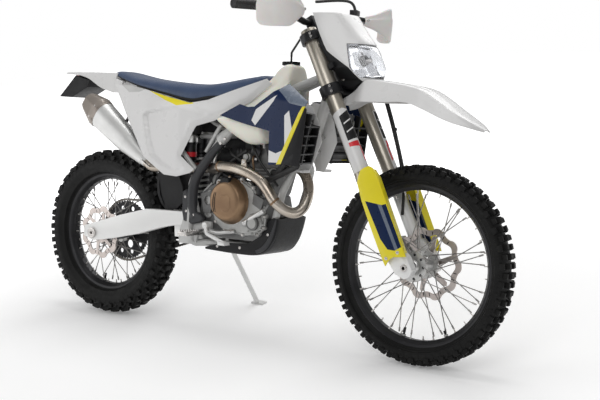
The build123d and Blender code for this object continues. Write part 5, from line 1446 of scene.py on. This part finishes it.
# ---- engine ----------------------------------------------------------------
def engine_right():
    """The clutch cover with its bolts and badge, the water pump, and what is cast round them."""
    soup = Soup()
    out = Vector((0, -1, 0))
    cover = [(-104, 566), (-62, 606), (30, 612), (86, 582), (118, 530), (146, 476), (142, 432), (112, 406), (40, 398),
             (-50, 408), (-96, 440), (-116, 500)]
    soup.add(*plate(cover, -92, -105, 3), CAST)
    soup.add(*plate([(x * 0.93 + 2, 505 + (z - 505) * 0.93) for x, z in cover], -100, -110, 2.5), CAST)
    for x, z in cover:
        spot = Vector((x * 0.97 + 1, -104, 505 + (z - 505) * 0.97))
        soup.add(*turned(spot + Vector((0, 12, 0)), out, [(0, 8), (13, 8), (14, 7)], 16), CAST)
        soup.screw(spot + Vector((0, -2, 0)), out, 5, 4)
    heart = Vector((-20, -104, 525))
    soup.add(*turned(heart, out, [(-6, 88), (6, 88.5), (9, 87), (12, 84.5), (15, 83.5), (38, 72), (41, 69), (42.5, 65),
                                  (42.8, 50), (43, 8)], 80), BRONZE)
    soup.bolt_circle(heart, out, 9, 0.35, 87, 6, 10, BRONZE)
    soup.add(*plate([(-43, 574), (-7, 574), (-3, 600), (-9, 613), (-39, 613), (-46, 600)], -100, -143, 3), BLACK)
    for x in (-73, -65):
        soup.add(*hose([(x + 5, -146.6, 556), (x, -147.2, 532), (x - 1, -147.2, 508), (x + 4, -146.6, 482)], 1.4, 5, 8),
                 DARK_METAL)
    badge = [(-33, 548), (-1, 550), (9, 540), (10, 500), (0, 488), (-27, 487), (-37, 497), (-39, 538)]
    soup.add(*plate(badge, -145.5, -148, 0.8), BRONZE)
    soup.make("clutch_cover", "frame", ("engine_covers",), 32)

    side = Soup()
    pump = Vector((100, -108, 450))
    side.add(*turned(pump, out, [(-14, 38), (6, 37), (9, 35), (12, 33), (12, 27), (9, 26), (9, 24), (15, 22), (22, 19),
                                 (23, 8)], 48), CAST)
    for k in range(7):
        turn = radians(200 + k * 26)
        way = Vector((cos(turn), 0, sin(turn)))
        side.add(*hose([pump + way * 24 + out * 9, pump + way * 36 + out * 8, pump + way * 47 + out * 2],
                       2.6, 3, 8), CAST)
    side.add(*hose([(64, -118, 452), (88, -122, 466), (122, -124, 484), (150, -122, 500)], [9, 9.5, 10, 10],
                   5, 16), BRIGHT)
    side.add(*turned((62, -117, 451), (-0.85, 0, -0.5), [(-4, 10), (0, 11.5), (8, 11.5), (12, 8)], 16), BRIGHT)
    # Raised bosses, ribs and hoses over the cases.
    for x, z, size in ((112, 540, 13), (128, 506, 10), (-136, 470, 16), (-140, 520, 18), (-128, 548, 10), (60, 590, 10),
                       (-84, 590, 12)):
        side.add(*turned((x, -90, z), out, [(0, size + 3), (10, size + 2), (12, size), (12, size * 0.6),
                                            (9, size * 0.5)], 20), CAST)
    for start, end in (((-166, 548), (-120, 588)), ((-160, 480), (-110, 470)), ((96, 596), (134, 548)),
                       ((84, 570), (132, 560)), ((128, 488), (148, 520))):
        side.add(*hose([(start[0], -96, start[1]), (end[0], -96, end[1])], 4, 3, 8), CAST)
    side.add(*hose([(-158, -108, 446), (-134, -116, 416), (-80, -120, 402), (-22, -118, 408), (8, -112, 412)],
                   [6, 8, 8, 8, 6], 6, 14), BRIGHT)
    side.add(*turned((-116, -74, 596), (0, 1, 0), [(0, 14), (2, 24), (8, 26), (120, 26), (128, 22)], 32), CAST)
    side.add(*turned((-162, -88, 548), (0, 1, 0), [(-2, 8), (0, 14), (40, 14)], 20), DARK_METAL)
    side.make("engine_side", "frame", (), 32)


def engine_left():
    """The ignition cover with its bolts, and the chain's front sprocket behind its shell."""
    soup = Soup()
    out = Vector((0, 1, 0))
    heart = Vector((15, 70, 470))
    soup.add(*turned(heart, out, [(-4, 84), (12, 83), (22, 79), (30, 74), (36, 66), (40, 58), (41.5, 46), (42, 8)], 72),
             BRONZE)
    soup.bolt_circle(heart, out, 7, 0.2, 85, 4, 16, CAST)
    soup.add(*turned((-150, 68, 440), out, [(0, 34), (14, 34), (16, 30), (21, 28), (21, 12), (24, 11)], 40), DARK_METAL)
    shell = [(-196, 430), (-186, 468), (-150, 486), (-112, 470), (-96, 440), (-110, 408), (-150, 396), (-186, 404)]
    soup.add(*plate(shell, 92, 97, 1.5), BLACK)
    for x, z in ((-176, 440), (-120, 446), (-148, 472)):
        soup.screw((x, 96, z), out, 4.5, 3)
    soup.make("ignition_cover", "frame", (), 32)


def top_end():
    """The cylinder's fins, bolts, stays, pipes and leads between the engine and the tank."""
    soup = Soup()
    for z in (600, 612, 624, 636, 648):
        shift = (z - 580) * 0.22
        fin = clipped_box(36 + shift, 128 + shift, 63, 11, 8, 8)
        soup.add(*stacked(fin, (z - 1.6, z + 1.6)), CAST)
    for x, z in ((48, 741), (92, 741), (140, 741)):
        for y in (-50, 50):
            soup.add(*turned((x, y * 1.06, z - 14), (0, 0, 1), [(0, 8), (24, 8), (26, 6), (26, 3)], 12), STEEL)
    for way in (-1, 1):
        soup.add(*plate([(4, 752), (50, 776), (78, 758), (86, 716), (70, 676), (54, 672), (56, 712), (40, 742)],
                        way * 63, way * 69, 1.2), DARK_METAL)
        soup.add(*plate([(96, 772), (116, 766), (142, 700), (132, 690), (118, 700)],
                        way * 63, way * 68, 1.2), DARK_METAL)
        for x, z in ((46, 764), (66, 686), (106, 764), (130, 702)):
            soup.screw((x, way * 68, z), (0, way, 0), 5.5, 4)
    soup.add(*turned((-58, 0, 700), (1, 0, 0.02), [(0, 34), (8, 42), (16, 38), (24, 43), (32, 38), (40, 43), (48, 38),
                                                   (56, 42), (86, 36)], 32), RUBBER)
    soup.add(*stacked(clipped_box(70, 160, 42, 12, 8, 10), (748, 752, 784)), BLACK)
    for path, radius, material in (
            ([(-130, -66, 556), (-104, -86, 604), (-58, -92, 652), (-8, -88, 690), (30, -78, 716)], 7, RUBBER),
            ([(-66, -60, 716), (-30, -90, 700), (18, -94, 676), (60, -88, 650), (92, -76, 606)], 5.5, RUBBER),
            ([(40, -60, 740), (78, -92, 716), (108, -94, 674), (146, -86, 628), (176, -74, 590)], 5, RUBBER),
            ([(-96, -70, 640), (-60, -96, 622), (-16, -100, 612), (30, -92, 604), (60, -76, 596)], 6, BLACK),
            ([(140, -62, 640), (168, -78, 636), (196, -88, 648), (222, -92, 676)], 14, RUBBER),
            ([(-130, -40, 640), (-120, -84, 660), (-112, -92, 690), (-92, -84, 724)], 9, BRIGHT),
            ([(60, -64, 700), (64, -84, 690), (70, -88, 660), (72, -84, 636)], 4, BRONZE)):
        soup.add(*hose(path, radius, 6, 12), material)
    soup.add(*turned((30, -66, 690), (0, -1, 0.1), [(0, 16), (12, 16), (14, 13), (22, 12), (24, 7)], 20), CAST)
    soup.add(*turned((108, -62, 604), (0, -1, 0), [(0, 15), (10, 15), (12, 12), (16, 8)], 20), CAST)
    soup.add(*turned((142, -60, 636), (0.7, -0.6, 0.1), [(-6, 17), (0, 17), (2, 19), (10, 19), (12, 17)], 24), CAST)
    tray = clipped_box(-176, -70, 48, 10, 10, 10)
    soup.add(*stacked(tray, (566, 572, 634, 640)), BLACK)
    for z in (586, 602, 618):
        soup.add(*stacked(tray, (z - 2, z + 2), (1.04, 1.04)), RUBBER)
    soup.add(*stacked([(-10, -40), (70, -40), (76, -30), (76, 30), (70, 40), (-10, 40)], (722, 728, 786)), RUBBER)
    for low, high, back, front in ((650, 722, -170, -24), (716, 772, -110, -16)):
        soup.add(*stacked(clipped_box(back, front, 36, 10, 8, 8), (low, low + 6, high - 6, high), (0.9, 1, 1, 0.9)),
                 BLACK)
    for way in (-1, 1):
        soup.add(*hose([(-90, way * 88, 808), (-110, way * 90, 780), (-134, way * 90, 744), (-160, way * 91, 704)],
                       8.5, 5, 16), FRAME)
    # The mud flap ahead of the rear wheel.
    flap = []
    for x, z, half in ((-428, 640, 58), (-436, 600, 62), (-436, 560, 66), (-428, 520, 68), (-410, 486, 66),
                       (-392, 462, 58)):
        flap.append([Vector((x + 4 * (1 - abs(s)), s * half, z)) for s in (-1, -0.6, 0, 0.6, 1)]
                    + [Vector((x + 12, s * half, z + 2)) for s in (1, 0.6, 0, -0.6, -1)])
    soup.add(*rings(flap), BLACK)
    for way in (-1, 1):
        wing = [(-428, 636), (-436, 560), (-410, 486), (-392, 464), (-330, 470), (-296, 500), (-300, 560), (-322, 604),
                (-360, 630)]
        soup.add(*plate(wing, way * 58, way * 63, 1.5), BLACK)
    for way in (-1, 1):
        soup.add(*hose([(204, way * 84, 884), (218, way * 87, 893), (238, way * 90, 893), (256, way * 94, 884),
                        (266, way * 97, 872)], [11, 14, 16, 15, 12], 5, 18), GREY)
    soup.make("top_end_fittings", "frame", (), 35)


engine_right()
engine_left()
top_end()


# ---- shock -----------------------------------------------------------------
SHOCK_X = -262


def shock_unit():
    """The damper, its spring and its reservoir, over the CAD's own shock."""
    soup = Soup()
    soup.add(*turned((SHOCK_X, 0, 470), (0, 0, 1), [
        (0, 8), (20, 8), (20, 30), (26, 32), (30, 32), (30, 24), (170, 24), (200, 27), (222, 27), (226, 33),
        (240, 33), (242, 29), (296, 27), (300, 20)], 40), DARK_METAL)
    coil = []
    turns = 8.5
    for k in range(int(turns * 20) + 1):
        turn = 2 * pi * k / 20
        coil.append((SHOCK_X + 34 * cos(turn), 34 * sin(turn), 504 + 184 * k / (turns * 20)))
    soup.add(*hose(coil, 5.2, 1, 10), FRAME)
    bottle = Vector((SHOCK_X + 4, -72, 664))
    soup.add(*turned(bottle, (0, 0, 1), [(0, 16), (3, 24), (8, 26), (66, 26), (68, 27.5), (74, 27.5)], 36), DARK_METAL)
    soup.add(*turned(bottle + Vector((0, 0, 74)), (0, 0, 1), [(0, 28), (3, 29), (26, 29), (30, 26), (34, 20), (34, 9),
                                                              (31, 8)], 36), BRIGHT)
    soup.add(*turned(bottle + Vector((0, 0, 18)), (0, 0, 1), [(0, 26.3), (18, 26.3)], 36), RED)
    soup.add(*hose([bottle + Vector((0, 12, 88)), (SHOCK_X, -30, 752), (SHOCK_X, -8, 748)], 13, 4, 14), BRIGHT)
    soup.make("shock_unit", "frame", (), 35)


shock_unit()

# ---- nodes whose own CAD shape is dressed: (finish, eased edge in mm) ------
LOOKS = {
    "main_frame": (FRAME, 1.5), "subframe": (FRAME, 1.0), "swingarm": (SILVER, 3.0), "rear_axle": (STEEL, 0.8),
    "shock": (DARK_METAL, 0.8), "shock_linkage": (BRIGHT, 2.0), "engine_cases": (CASE, 3.0), "cylinder": (CASE, 2.0),
    "radiators": (CORE, 1.0), "radiator_guards": (BLACK, 0.8), "air_guides": (WHITE, 1.0),
    "filler_cap": (BLACK, 1.5), "plate_holder": (BLACK, 2.0), "tail_lamp": (RED_LENS, 1.5), "footpegs": (STEEL, 0.8),
    "foot_levers": (SILVER, 1.0), "drive_chain": (CHAIN, 0.3), "chain_guide": (BLACK, 1.5),
    "rear_caliper": (DARK_METAL, 2.0), "airbox": (BLACK, 1.5), "throttle_body": (RUBBER, 2.0),
    "triple_clamps": (DARK_METAL, 1.5), "fork_lower_legs": (SILVER, 2.0), "front_axle": (STEEL, 0.8),
    "front_caliper": (BRIGHT, 3.0), "handlebar": (DARK_METAL, 0.8), "grips": (RUBBER, 1.0),
    "control_levers": (DARK_METAL, 1.0), "bar_mounts": (DARK_METAL, 1.5), "headlight_bracket": (BLACK, 1.0),
    "rear_sprocket": (DARK_METAL, 0.4), "side_stand": (SILVER, 2.0), "breather_hose": (RUBBER, 0.4),
    "coolant_hose": (RUBBER, 0.6),
}
for node, (material, width) in LOOKS.items():
    dress(node, material, width)
